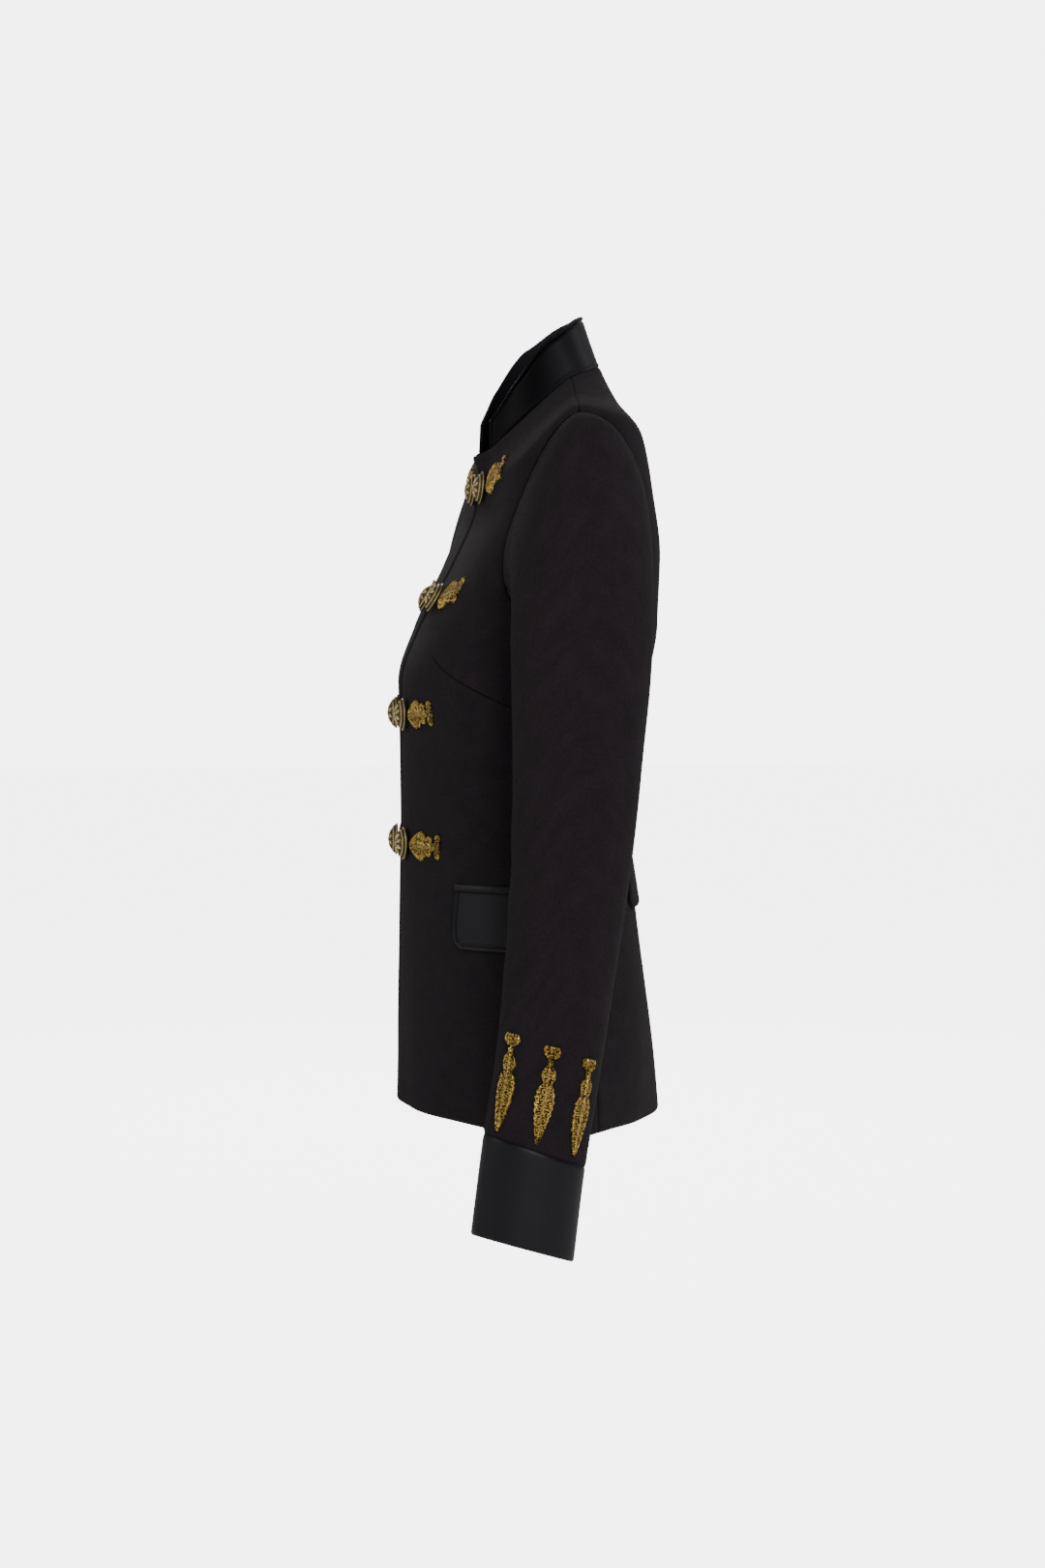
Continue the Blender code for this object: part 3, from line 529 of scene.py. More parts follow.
def border(rows, columns):
    """Corner numbers round a grid's border, in the order of its faces' own edges."""
    grid = np.arange(rows * columns).reshape(rows, columns)
    return np.concatenate((grid[0, :-1], grid[:-1, -1], grid[-1, :0:-1], grid[:0:-1, 0]))


def shell_object(name, outer, inner, material, lay, rise, wrap=False, side=1, inner_painted_light=1.0):
    """A closed shell between an outer and an inner grid. lay holds each point's place on the flat cloth and
    becomes the UV map; it has one more column than a wrapped grid. rise says how far each outer point is
    raised, for its colour: low points are darkened as painted shade, and the inner level says it for the
    inner ones, where above 1 it is painted light. side -1 mirrors the piece."""
    rows, columns = outer.shape[:2]
    count = rows * columns
    top = grid_quads(rows, columns, wrap)
    if wrap:
        loops = [np.arange(columns), np.arange(count - 1, count - 1 - columns, -1)]
    else:
        loops = [border(rows, columns)]
    rims = []
    for loop in loops:
        ahead = np.roll(loop, -1)
        rims.append(np.stack([loop, loop + count, ahead + count, ahead], -1))
    quads = np.concatenate([top, top[:, ::-1] + count] + rims)
    flat = lay.reshape(-1, 2)
    top_lay = flat[grid_quads(rows, lay.shape[1])]
    near = lay[:, :columns].reshape(-1, 2)
    lays = np.concatenate([top_lay, top_lay[:, ::-1]] + [near[rim % count] for rim in rims])
    if side < 0:
        quads, lays = quads[:, ::-1], lays[:, ::-1]
    points = np.concatenate((outer.reshape(-1, 3), inner.reshape(-1, 3))) * np.array([side, 1.0, 1.0])
    mesh = bpy.data.meshes.new(name)
    mesh.from_pydata(points.tolist(), [], quads.tolist())
    mesh.uv_layers.new(name="lay").uv.foreach_set("vector", lays.astype(np.float32).ravel())
    # Colour levels: below 1 painted shade, above 1 painted light
    values = np.concatenate((rise.ravel(), np.full(count, inner_painted_light))).astype(np.float32)
    mesh.attributes.new("rise", "FLOAT", "POINT").data.foreach_set("value", values)
    mesh.materials.append(material)
    mesh.shade_smooth()
    mesh.set_sharp_from_angle(angle=math.radians(42))
    made = bpy.data.objects.new(name, mesh)
    bpy.context.scene.collection.objects.link(made)
    return made


def lay_of(grid):
    """Flat places of a grid's points: their runs along the rows and down the columns."""
    return np.stack([run_lengths(grid, 1), run_lengths(grid, 0)], -1)


def cut_of(grid, wrap=False):
    """Width, length and area of the flat cut of a grid of cloth."""
    closed = np.concatenate((grid, grid[:, :1]), 1) if wrap else grid
    width = run_lengths(closed, 1)[:, -1].max()
    length = run_lengths(closed, 0)[-1].max()
    one = np.cross(closed[1:, 1:] - closed[:-1, :-1], closed[1:, :-1] - closed[:-1, 1:])
    return float(width), float(length), float(np.linalg.norm(one, axis=-1).sum() / 2)


def cloth_piece(name, outer, inner, slot, wrap=False, side=1, lay=None, look=None,
                rise=None, inner_painted_light=1.0):
    """A sheet of cloth in place of its solid. rise is 0 in a seam and 1 clear of it, and look names its
    finish where that isn't the slot's own."""
    if lay is None:
        closed = np.concatenate((outer, outer[:, :1]), 1) if wrap else outer
        lay = lay_of(closed)
    # rise darkens the colour in the seams, as painted shade
    if rise is None:
        rise = np.ones(outer.shape[:2])
    material = finish(look or slot)
    made = shell_object(name + "_cloth", outer, inner, material, lay, rise, wrap, side, inner_painted_light)
    width, length, area = cut_of(outer, wrap)
    width, length = max(width, 0.01), max(length, 0.01)
    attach(made, "root")
    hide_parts(name)


def hard_piece(made, node):
    """A button or a leaf in place of its solid."""
    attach(made, "root")
    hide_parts(node)


# Edges of the cloth


def seam_dip(distance):
    """A seam sinks by two thirds of a millimetre, and the cloth beside it stands a little proud."""
    return -0.0007 * hump(distance, 0.0019) + 0.00022 * hump(distance - 0.0055, 0.0028)


def clear_of(*seams):
    """Mask of the painted shade in a seam: 0 in the seam and 1 two millimetres away from it."""
    return 1 - np.max([hump(distance, 0.0010) for distance in seams], axis=0)


def turned_edge(distance):
    """A pressed edge rounds off over its last millimetre and a half."""
    return -0.0008 * hump(distance, 0.0011)


def piping(distance):
    """A satin border: a bell for the raised cord, less one for the rolled edge and one for the groove."""
    cord, edge, groove = (height * hump(distance - place, width)
                          for place, height, width in (PIPING_CORD, PIPING_EDGE, PIPING_GROOVE))
    return cord - edge - groove


def tucked(points, normals, reach, depth):
    """The first row of a tube is drawn back under the piece it is sewn to, so that no light gets through."""
    back = points[0] - points[2]
    points[0] += back / np.linalg.norm(back, axis=-1, keepdims=True) * reach - normals[0] * depth


# Pieces


def front_panel(under):
    """A front from the lap's edge to the side seam: arcs along each ring, the corner's flare, the step
    below the lap, dips at its seams and a rolled edge down the front and round the hem."""
    turns, arcs = [], []
    for ring in PANEL_RINGS:
        start = turn_at_arc(ring, -LAP)
        dense, length = ring_run(ring, start, panel_end(ring, True))
        row = edged(length[-1], FRONT_COLUMNS)
        turns.append(np.interp(row, length, dense))
        arcs.append(row)
    turns, arcs = np.array(turns), np.array(arcs)
    points, normals = body_face(turns, PANEL_RINGS[:, None])
    lift = smooth_step((points[..., 2] - CORNER_FOOT_Z) / (CORNER_TOP_Z - CORNER_FOOT_Z))
    offset = CORNER_FLARE * lift * smooth_step(1 - (arcs - LAP) / CORNER_REACH)
    if under:
        offset -= UNDER_STEP * smooth_step((UNDER_END - arcs + LAP) / (UNDER_END - UNDER_FLAT))
    to_side = arcs[:, -1:] - arcs
    down = run_lengths(points, 0)
    offset += turned_edge(arcs) + seam_dip(to_side) + turned_edge(down) + seam_dip(down[-1:] - down)
    outer = points + normals * offset[..., None]
    wall = bpy.context.scene.blazer_cloth.wool_wall
    clear = clear_of(to_side, down[-1:] - down)
    return outer, outer - normals * wall, np.stack([arcs, points[..., 2]], -1), clear


def back_panel():
    """A back from the side seam or armhole to the centre back seam, with dips at its seams."""
    turns, arcs = [], []
    for ring in PANEL_RINGS:
        dense, length = ring_run(ring, panel_end(ring, False), math.pi)
        row = edged(length[-1], BACK_COLUMNS)
        turns.append(np.interp(row, length, dense))
        arcs.append(row)
    turns, arcs = np.array(turns), np.array(arcs)
    points, normals = body_face(turns, PANEL_RINGS[:, None])
    to_centre = arcs[:, -1:] - arcs
    down = run_lengths(points, 0)
    offset = seam_dip(arcs) + seam_dip(to_centre) + turned_edge(down) + seam_dip(down[-1:] - down)
    outer = points + normals * offset[..., None]
    wall = bpy.context.scene.blazer_cloth.wool_wall
    clear = clear_of(arcs, to_centre, down[-1:] - down)
    return outer, outer - normals * wall, np.stack([-to_centre, points[..., 2]], -1), clear


def build_body():
    """The fronts, of which the right one is stepped in under the lap, and the two backs."""
    back = back_panel()
    panels = (("front_left", front_panel(False), "wool_front", 1),
              ("front_right", front_panel(True), "wool_front", -1),
              ("back_left", back, "wool", 1),
              ("back_right", back, "wool", -1))
    for name, (outer, inner, lay, clear), look, side in panels:
        cloth_piece(name, outer, inner, "wool", side=side, lay=lay, look=look, rise=clear)


def sleeve_part(start, end, sway, columns):
    """A stretch of the sleeve between two of its seams, from the armhole down to the cuff seam."""
    angles = edged(end - start, columns, np.array(EDGE_STEPS) / SLEEVE_RADIUS) + start
    rings = np.concatenate(([0, 0.01], np.linspace(0.025, 0.96, CAP_ROWS), np.linspace(1, 5.93, SLEEVE_ROWS),
                            [5.96, 5.98, CUFF_SEAM]))
    angles, rings = np.meshgrid(angles, rings)
    points, normals = sleeve_face(angles, rings, sway)
    along = run_lengths(points, 1)
    down = run_lengths(points, 0)
    offset = seam_dip(along) + seam_dip(along[:, -1:] - along) + seam_dip(down) + seam_dip(down[-1:] - down)
    outer = points + normals * offset[..., None]
    tucked(outer, normals, *SLEEVE_TUCK)
    wall = bpy.context.scene.blazer_cloth.wool_wall
    return outer, outer - normals * wall, clear_of(along, along[:, -1:] - along, down[-1:] - down)


def cuff_band(sway):
    """The satin cuff: full rings from the cuff seam to the edge, with a dip at the seam and a rolled edge."""
    rows, columns = CUFF_GRID
    angles = np.linspace(-math.pi, math.pi, columns, endpoint=False)[None, :]
    drop = edged(CUFF_EDGE - CUFF_SEAM, rows, np.array(EDGE_STEPS) / CUFF_LENGTH)
    rings = (CUFF_SEAM + np.maximum(drop, 0.005))[:, None]
    angles, rings = np.broadcast_arrays(angles, rings)
    points, normals = sleeve_face(angles, rings, sway)
    down = run_lengths(points, 0)
    offset = turned_edge(down[-1:] - down) - 0.0004 * hump(down, 0.0012)
    outer = points + normals * offset[..., None]
    tucked(outer, normals, *CUFF_TUCK)
    return outer, outer - normals * bpy.context.scene.blazer_cloth.satin_wall, clear_of(down)


def build_sleeves():
    """Both sleeves: the upper and the under part, and the cuff."""
    for name, side, sway in (("left", 1, 0.0), ("right", -1, RIGHT_SWAY)):
        upper = sleeve_part(HINDARM_SEAM, FOREARM_SEAM, sway, UPPER_SLEEVE_COLUMNS)
        under = sleeve_part(FOREARM_SEAM, HINDARM_SEAM + 2 * math.pi, sway, UNDER_SLEEVE_COLUMNS)
        for part, (outer, inner, clear) in (("sleeve_upper_", upper), ("sleeve_under_", under)):
            cloth_piece(part + name, outer, inner, "wool", side=side, rise=clear)
        outer, inner, clear = cuff_band(sway)
        cloth_piece("cuff_" + name, outer, inner, "satin", wrap=True,
                    side=side, rise=clear)


def build_collar():
    """The stand collar: its foot runs along the neck ring, and each point of its top edge stands off by
    the amounts in the table, blended round the neck. All its edges are piped."""
    rows, columns = COLLAR_GRID
    start = turn_at_arc(NECK_RING, 0.0)
    _, whole = ring_run(NECK_RING, turn_at_arc(NECK_RING, -LAP), panel_end(NECK_RING, True))
    first = UNDER_END + (whole[-1] - LAP - UNDER_END) / 10
    dense, length = ring_run(NECK_RING, start, math.pi)
    half = edged(length[-1] - first, columns, PIPED_STEPS) + first
    half = np.concatenate((half[:-len(PIPED_STEPS)], [length[-1]]))
    turns = np.interp(half, length, dense)
    stops = np.radians([row[1] for row in COLLAR_STANDS])
    stand = table_at(COLLAR_COLUMNS, [(row[0], *row[2:]) for row in COLLAR_STANDS],
                     np.interp(math.pi - turns, stops, np.arange(len(stops))))
    rise = np.stack([-stand["in_x"], stand["y"], stand["up"]], -1)
    up = edged(COLLAR_HEIGHT, rows, PIPED_STEPS) / COLLAR_HEIGHT
    foot = body_plain(turns, np.full(len(turns), NECK_RING))
    left = foot[None] + rise[None] * up[:, None, None]
    below = COLLAR_FOOT + COLLAR_FOOT_FRONT * smooth_step(1 - (half - first) / COLLAR_FOOT_REACH)
    left[0] = foot - rise * below[:, None]
    tuck = np.where(np.arange(len(up)) == 0, COLLAR_TUCK, 0.0)[:, None]
    plain = np.concatenate((left, left[:, ::-1][:, 1:] * np.array([-1.0, 1.0, 1.0])), axis=1)
    normals = np.cross(np.gradient(plain, axis=1), np.gradient(plain, axis=0))
    normals /= np.linalg.norm(normals, axis=-1, keepdims=True)
    along, down = run_lengths(plain, 1), run_lengths(plain, 0)
    from_ends = np.minimum(along, along[:, -1:] - along)
    from_edge = np.minimum(down[-1:] - down, from_ends)
    offset = piping(from_edge) + 0.0005 * hump(down - 0.0026, 0.0011) - tuck
    outer = plain + normals * offset[..., None]
    inner = plain - normals * (bpy.context.scene.blazer_cloth.satin_wall + tuck)[..., None]
    # Painted shade darkens the groove in from the edge, and the inner side's level of 2 makes its colour
    # paler, painted light where it lies in shade
    cloth_piece("collar", outer, inner, "satin",
                rise=clear_of(from_edge - COLLAR_GROOVE), look="satin_collar", inner_painted_light=2.0)


def corner_inset(depth, height, radius):
    """How far a rounded lower corner draws the edge in, at a depth below the top edge."""
    over = np.maximum(0.0, depth - (height - radius))
    return radius - np.sqrt(np.maximum(0.0, radius ** 2 - over ** 2))


def corner_distance(side, low, radius):
    """Distance in from two edges that a rounded corner joins. side and low are measured outward from the
    corner's centre: past both, the corner's circle counts, and else the nearer edge."""
    return radius - np.hypot(np.maximum(side, 0), np.maximum(low, 0)) - np.minimum(np.maximum(side, low), 0)


def edge_distance(across, depth, width, height, radius):
    """Distance in from the sides and the foot of a flap with rounded lower corners."""
    side = np.abs(across - width / 2) - (width / 2 - radius)
    return corner_distance(side, depth - (height - radius), radius)


def flap_depths(height, radius, rows):
    """Depths of a flap's rows from its foot up: by the corner's sine at first, then even."""
    even = np.linspace(height - radius, 0, rows)
    if not radius:
        return even[:, None]
    corner = height - radius * (1 - np.sin(np.linspace(math.pi / 2, 0, FLAP_CORNER_ROWS)))
    return np.concatenate((corner[:-1], even))[:, None]


def flap_grid(starts, ends, top, height, radius, grid, stand, wall, profile):
    """A flap on the body between two arcs, from its foot up. starts and ends give the arcs at a height, and
    profile the relief at a distance from its free edges and a depth below its top."""
    rows, columns = grid
    depth = flap_depths(height, radius, rows)
    start, end = starts(top - depth), ends(top - depth)
    inset = corner_inset(depth, height, radius) if radius else 0.0 * depth
    width = end - start
    fine = edged(1.0, columns, np.array(PIPED_STEPS) / FLAP_WIDTH)[None, :]
    arc = start + inset + (width - 2 * inset) * fine
    turn, ring = body_places(arc, np.broadcast_to(top - depth, arc.shape))
    points, normals = body_face(turn, ring)
    distance = edge_distance(arc - start, depth, width, height, max(radius, 1e-4))
    lower = points + normals * (LAID_GAP + stand * depth / height)[..., None]
    upper = lower + normals * (wall + profile(distance, depth))[..., None]
    depth = depth + 0 * arc
    # Painted shade in the piping's groove and along the top edge, or along both edges of a welt
    seams = (distance - PIPING_GROOVE[0], depth) if radius else (depth, height - depth)
    return upper, lower, clear_of(*seams)


def welt_round(distance, depth):
    """A welt's section: half round, from one of its long edges to the other."""
    share = np.clip(depth / WELT_HEIGHT, 0, 1)
    return 0.0006 * np.sin(math.pi * share) - 0.0006


def centred(grid):
    """The left half of a grid across the centre back, closed on the centre line and mirrored."""
    left = grid.copy()
    left[:, -1, 0] = 0.0
    return np.concatenate((left, left[:, ::-1][:, 1:] * np.array([-1.0, 1.0, 1.0])), axis=1)


def upright(arc):
    """A side edge that keeps its arc at every height."""
    return lambda height: np.full_like(height, arc)


def build_flaps():
    """The pocket welts and flaps, then the back flap and the edge above it."""
    cloth = bpy.context.scene.blazer_cloth
    start, end = POCKET_START, POCKET_START + POCKET_LENGTH
    welt = flap_grid(upright(start), upright(end), POCKET_TOP, WELT_HEIGHT, 0, WELT_GRID, 0.0,
                     cloth.satin_wall, welt_round)
    flap = flap_grid(upright(start + FLAP_INSET), upright(end - FLAP_INSET),
                     POCKET_TOP - WELT_HEIGHT - LAID_GAP, FLAP_HEIGHT, FLAP_CORNER, FLAP_GRID, FLAP_STAND,
                     cloth.satin_wall, lambda distance, depth: piping(distance))
    for name, side in (("left", 1), ("right", -1)):
        for piece, (outer, inner, clear) in (("pocket_welt_", welt), ("pocket_flap_", flap)):
            cloth_piece(piece + name, outer, inner, "satin", side=side, rise=clear)
    reach = float(girth_at(BACK_EDGE_TOP)) - BACK_FLAP_HALF
    below = BACK_EDGE_TOP - BACK_EDGE_HEIGHT - LAID_GAP
    low_reach = float(girth_at(below)) - BACK_FLAP_HALF
    edge = flap_grid(upright(reach), girth_at, BACK_EDGE_TOP, BACK_EDGE_HEIGHT, 0, BACK_EDGE_GRID, 0.0,
                     cloth.wool_wall, lambda distance, depth: turned_edge(depth) * 0.6)
    skirt = half_flap(low_reach, below, cloth.satin_wall)
    for name, grid in (("back_waist_edge", edge), ("back_flap", skirt)):
        cloth_piece(name, centred(grid[0]), centred(grid[1]), "wool")


def half_flap(reach, top, wall):
    """The left half of the back flap: its outer lower corner is rounded and its other end is the centre."""
    rows, columns = BACK_FLAP_GRID
    radius, height = BACK_FLAP_CORNER, BACK_FLAP_HEIGHT
    depth = flap_depths(height, radius, rows)
    inset = corner_inset(depth, height, radius)
    end = girth_at(top - depth)
    fine = edged(1.0, columns, np.array(EDGE_STEPS) / BACK_FLAP_HALF)[None, :]
    arc = reach + inset + (end - reach - inset) * fine
    turn, ring = body_places(arc, np.broadcast_to(top - depth, arc.shape))
    points, normals = body_face(turn, ring)
    distance = corner_distance(radius - (arc - reach), depth - (height - radius), radius)
    lower = points + normals * (LAID_GAP + BACK_FLAP_STAND * depth / height)[..., None]
    upper = lower + normals * (wall + turned_edge(distance) + seam_dip(depth))[..., None]
    return upper, lower


# Buttons


def button_relief(radius, turn):
    """Height over the dome at a share of its radius and a turn: a rolled rim, a plain margin, a twisted
    rope ring, eight pointed leaves round a raised boss, and rays between them."""
    rim = 0.00035 * hump(radius - 0.965, 0.030)
    rope = hump(radius - 0.745, 0.040) * (0.00042 + 0.00016 * np.sin(34 * turn + 40 * radius))
    spread = np.abs(np.mod(turn * 8 / (2 * math.pi), 1) - 0.5) * 2
    reach = np.clip((radius - 0.16) / 0.50, 0, 1)
    leaf_width = 0.78 * np.sin(math.pi * reach ** 0.8)
    leaf = smooth_step((leaf_width - spread) / 0.25) * (0.00042 - 0.00016 * hump(spread, 0.10))
    rays = 0.00013 * np.sin(40 * turn) * smooth_step(reach * 4) * smooth_step((0.70 - radius) / 0.06)
    boss = 0.00055 * smooth_step((0.17 - radius) / 0.07) \
        + 0.0002 * np.cos(6 * turn) * hump(radius - 0.12, 0.04)
    inside = smooth_step((0.70 - radius) / 0.04)
    return rim + rope + inside * (leaf + rays + boss)


def button_object(name, foot, axis, side, metal):
    """A domed button: its section is carried round its axis, shank first, then the underside, the rim and
    the dome with its relief. The crown closes in a single point."""
    shape = bpy.context.scene.blazer_buttons
    radius, dome = shape.radius, shape.dome
    count = BUTTON_COLUMNS
    sphere = (radius ** 2 + dome ** 2) / (2 * dome)
    reach = math.asin(radius / sphere)
    base = BUTTON_STAND + BUTTON_EDGE
    under = [(0.0, 0.0003), (SHANK_RADIUS, 0.0003), (SHANK_RADIUS, BUTTON_STAND * 0.6),
             (SHANK_RADIUS * 1.15, BUTTON_STAND * 0.95), (radius * 0.50, BUTTON_STAND * 0.90),
             (radius * 0.90, BUTTON_STAND), (radius * 0.965, BUTTON_STAND + 0.0001),
             (radius * 0.995, BUTTON_STAND + BUTTON_EDGE * 0.35),
             (radius * 1.002, BUTTON_STAND + BUTTON_EDGE * 0.7)]
    shares = np.concatenate((np.linspace(1.0, 0.88, BUTTON_RIM_ROWS),
                             np.linspace(0.865, 0.02, BUTTON_DOME_ROWS), [0.0]))
    turn = np.linspace(0, 2 * math.pi, count, endpoint=False)[None, :]
    shares = shares[:, None]
    lift = button_relief(shares, turn)
    polar = sphere * np.sin(reach * shares) + lift * np.sin(reach * shares)
    height = base + dome - sphere * (1 - np.cos(reach * shares)) + lift * np.cos(reach * shares)
    r = np.concatenate((np.repeat([[p[0]] for p in under], count, 1), np.broadcast_to(polar, lift.shape)))
    z = np.concatenate((np.repeat([[p[1]] for p in under], count, 1), height))
    # Colour level: the underside and the low parts take the dark low colour, painted shade together with
    # tarnish
    rise = np.concatenate((np.zeros((len(under), count)), np.clip(lift / 0.0005, 0, 1)))
    local = np.stack([r * np.cos(turn), r * np.sin(turn), z], -1)
    mirror = np.array([side, 1.0, 1.0])
    matrix = np.array(Vector(axis * mirror).to_track_quat("Z", "Y").to_matrix())
    points = (local @ matrix.T + foot * mirror).reshape(-1, 3)
    rows = len(r)
    quads = grid_quads(rows, count, True)
    mesh = bpy.data.meshes.new(name)
    mesh.from_pydata(points.tolist(), [], quads.tolist())
    mesh.attributes.new("rise", "FLOAT", "POINT").data.foreach_set("value", rise.astype(np.float32).ravel())
    mesh.materials.append(metal)
    mesh.shade_smooth()
    made = bpy.data.objects.new(name, mesh)
    bpy.context.scene.collection.objects.link(made)
    close_poles(made)
    return made


def close_poles(made):
    """Joins the points that lie on one another at the two ends of a turned shape."""
    work = bmesh.new()
    work.from_mesh(made.data)
    bmesh.ops.remove_doubles(work, verts=work.verts, dist=1e-6)
    work.to_mesh(made.data)
    work.free()
    made.data.set_sharp_from_angle(angle=math.radians(50))


def build_buttons():
    """Two columns of four buttons, each square to the cloth under it."""
    for name, height, _ in ROWS:
        turn, ring = body_places(np.array([BUTTON_FROM_CENTRE]), np.array([height]))
        points, normals = body_face(turn, ring)
        for side_name, side in (("left", 1), ("right", -1)):
            node = f"button_{name}_{side_name}"
            made = button_object(node + "_metal", points[0], normals[0], side, finish("gold_metal"))
            hard_piece(made, node)


# Embroidery


def leaf_width(share):
    """Half width at a share of the length: the outline's steps, smoothed, with a notched edge."""
    shares, widths = np.array(LEAF_OUTLINE).T
    width = np.interp(share, shares, widths)
    for shift in (0.006, 0.012):
        later, earlier = (np.interp(share + way * shift, shares, widths) for way in (1, -1))
        width = (width + later + earlier) / 3
    blade = smooth_step((share - 0.40) / 0.05) * smooth_step((0.97 - share) / 0.1)
    return width * (1 + 0.055 * blade * np.sin(share * 95))


def leaf_relief(share, across):
    """Height over the cloth at a share of the length and of the half width, and how far it is raised, for its
    colour, darker as painted shade in the low places and towards the edge: a padded crown, a cord round the
    edge, a midrib, and coils of thread that slant away from the midrib."""
    off = np.abs(across)
    relief = bpy.context.scene.blazer_embroidery.relief
    padding = 0.45 + 0.55 * np.sqrt(np.clip(1 - off ** 2, 0, 1))
    cord = 0.30 * hump(off - 0.86, 0.11)
    bar = smooth_step((0.115 - share) / 0.02)
    blade = 1 - bar
    rib = 0.34 * hump(across, 0.14) * blade
    slant = np.sin(share * 235 - off * 7.5)
    coils = 0.16 * slant * blade * smooth_step((0.80 - off) / 0.1) * smooth_step((off - 0.12) / 0.08)
    beads = 0.10 * np.sin(share * 420 + across * 5) * hump(off - 0.86, 0.14)
    bar_coils = 0.20 * np.sin(across * 30) * bar * hump(share - 0.055, 0.05)
    waist = -0.22 * hump(share - 0.125, 0.012) - 0.18 * hump(share - 0.385, 0.016)
    height = np.clip(0.62 * padding + cord + rib + coils + beads + bar_coils + waist, 0.15, 1.6)
    # Colour level: painted shade in the low places between cord, rib and coils, and more towards the edge
    rise = np.clip(0.30 + 1.7 * (cord + rib + coils + beads + bar_coils + waist), 0, 1)
    edge = smooth_step((1 - off) / 0.10)
    return relief * height * (0.35 + 0.65 * edge) * 0.80, rise * (0.25 + 0.75 * edge)


def leaf_piece(node, place, length, scale, side):
    """A leaf on its cloth. place gives points and normals at distances along and across it."""
    rows, columns = LEAF_GRID
    share = np.linspace(0, 1, rows)[:, None]
    across = np.sin(np.linspace(-1, 1, columns) * math.pi / 2)[None, :]
    width = leaf_width(share) * scale
    points, normals = place(share * length + 0 * across, across * width)
    height, rise = leaf_relief(share, across)
    outer = points + normals * (0.0005 + height)[..., None]
    inner = points + normals * 0.0003
    # The underside's level of 0 gives it the dark low colour, as painted shade
    made = shell_object(node + "_thread", outer, inner, finish("gold_thread"), lay_of(points), rise,
                        side=side, inner_painted_light=0.0)
    hard_piece(made, node)


def frog_place(button_z, climb):
    """A leaf beside a button runs round the body and climbs a little on its way to its head."""
    def place(along, across):
        arc = FROG_START + FROG_LENGTH - along - across * climb / FROG_LENGTH
        height = button_z + climb * (1 - along / FROG_LENGTH) + across
        return body_face(*body_places(arc, height))
    return place


def sleeve_place(angle, sway):
    """A leaf on the sleeve runs down from its head, and its tip ends just above the cuff."""
    rings = np.linspace(3, CUFF_SEAM, 241)
    drops = -sleeve_plain(np.full(241, angle), rings, sway)[:, 2]
    head = drops[-1] - SLEEVE_LEAF_FOOT - SLEEVE_LEAF_LENGTH

    def place(along, across):
        ring = np.interp(head + along, drops, rings)
        tenth = sleeve_plain(angle + 0.05, ring, 0.0) - sleeve_plain(angle - 0.05, ring, 0.0)
        radius = np.linalg.norm(tenth, axis=-1) / 0.1
        return sleeve_face(angle + across / radius, ring, sway)
    return place


def build_embroidery():
    """A leaf beside each button, and three above each cuff."""
    for name, height, climb in ROWS:
        for side_name, side in (("left", 1), ("right", -1)):
            node = f"frog_{name}_{side_name}"
            leaf_piece(node, frog_place(height, climb), FROG_LENGTH, FROG_SCALE, side)
    for side_name, side, sway in (("left", 1, 0.0), ("right", -1, RIGHT_SWAY)):
        for name, angle in SLEEVE_LEAVES:
            node = f"cuff_leaf_{name}_{side_name}"
            leaf_piece(node, sleeve_place(angle, sway), SLEEVE_LEAF_LENGTH, SLEEVE_LEAF_SCALE, side)


# Materials


def new_group(name, inputs, outputs):
    """An empty node group with its sockets, and its two end nodes."""
    group = bpy.data.node_groups.new(name, "ShaderNodeTree")
    for label, kind, value in inputs:
        socket = group.interface.new_socket(label, in_out="INPUT", socket_type=kind)
        if value is not None:
            socket.default_value = value
    for label, kind in outputs:
        group.interface.new_socket(label, in_out="OUTPUT", socket_type=kind)
    return group, group.nodes.new("NodeGroupInput"), group.nodes.new("NodeGroupOutput")


def math_node(tree, operation, *values):
    """A maths node: numbers are set on it and sockets are linked to it."""
    node = tree.nodes.new("ShaderNodeMath")
    node.operation = operation
    for index, value in enumerate(values):
        if isinstance(value, (int, float)):
            node.inputs[index].default_value = value
        else:
            tree.links.new(value, node.inputs[index])
    return node.outputs[0]


def mixed(tree, factor, low, high):
    """Two colours mixed by a factor: sockets are linked and plain colours are set."""
    node = tree.nodes.new("ShaderNodeMix")
    node.data_type = "RGBA"
    tree.links.new(factor, node.inputs[0])
    for index, value in ((6, low), (7, high)):
        if isinstance(value, tuple):
            node.inputs[index].default_value = value
        else:
            tree.links.new(value, node.inputs[index])
    return node.outputs[2]


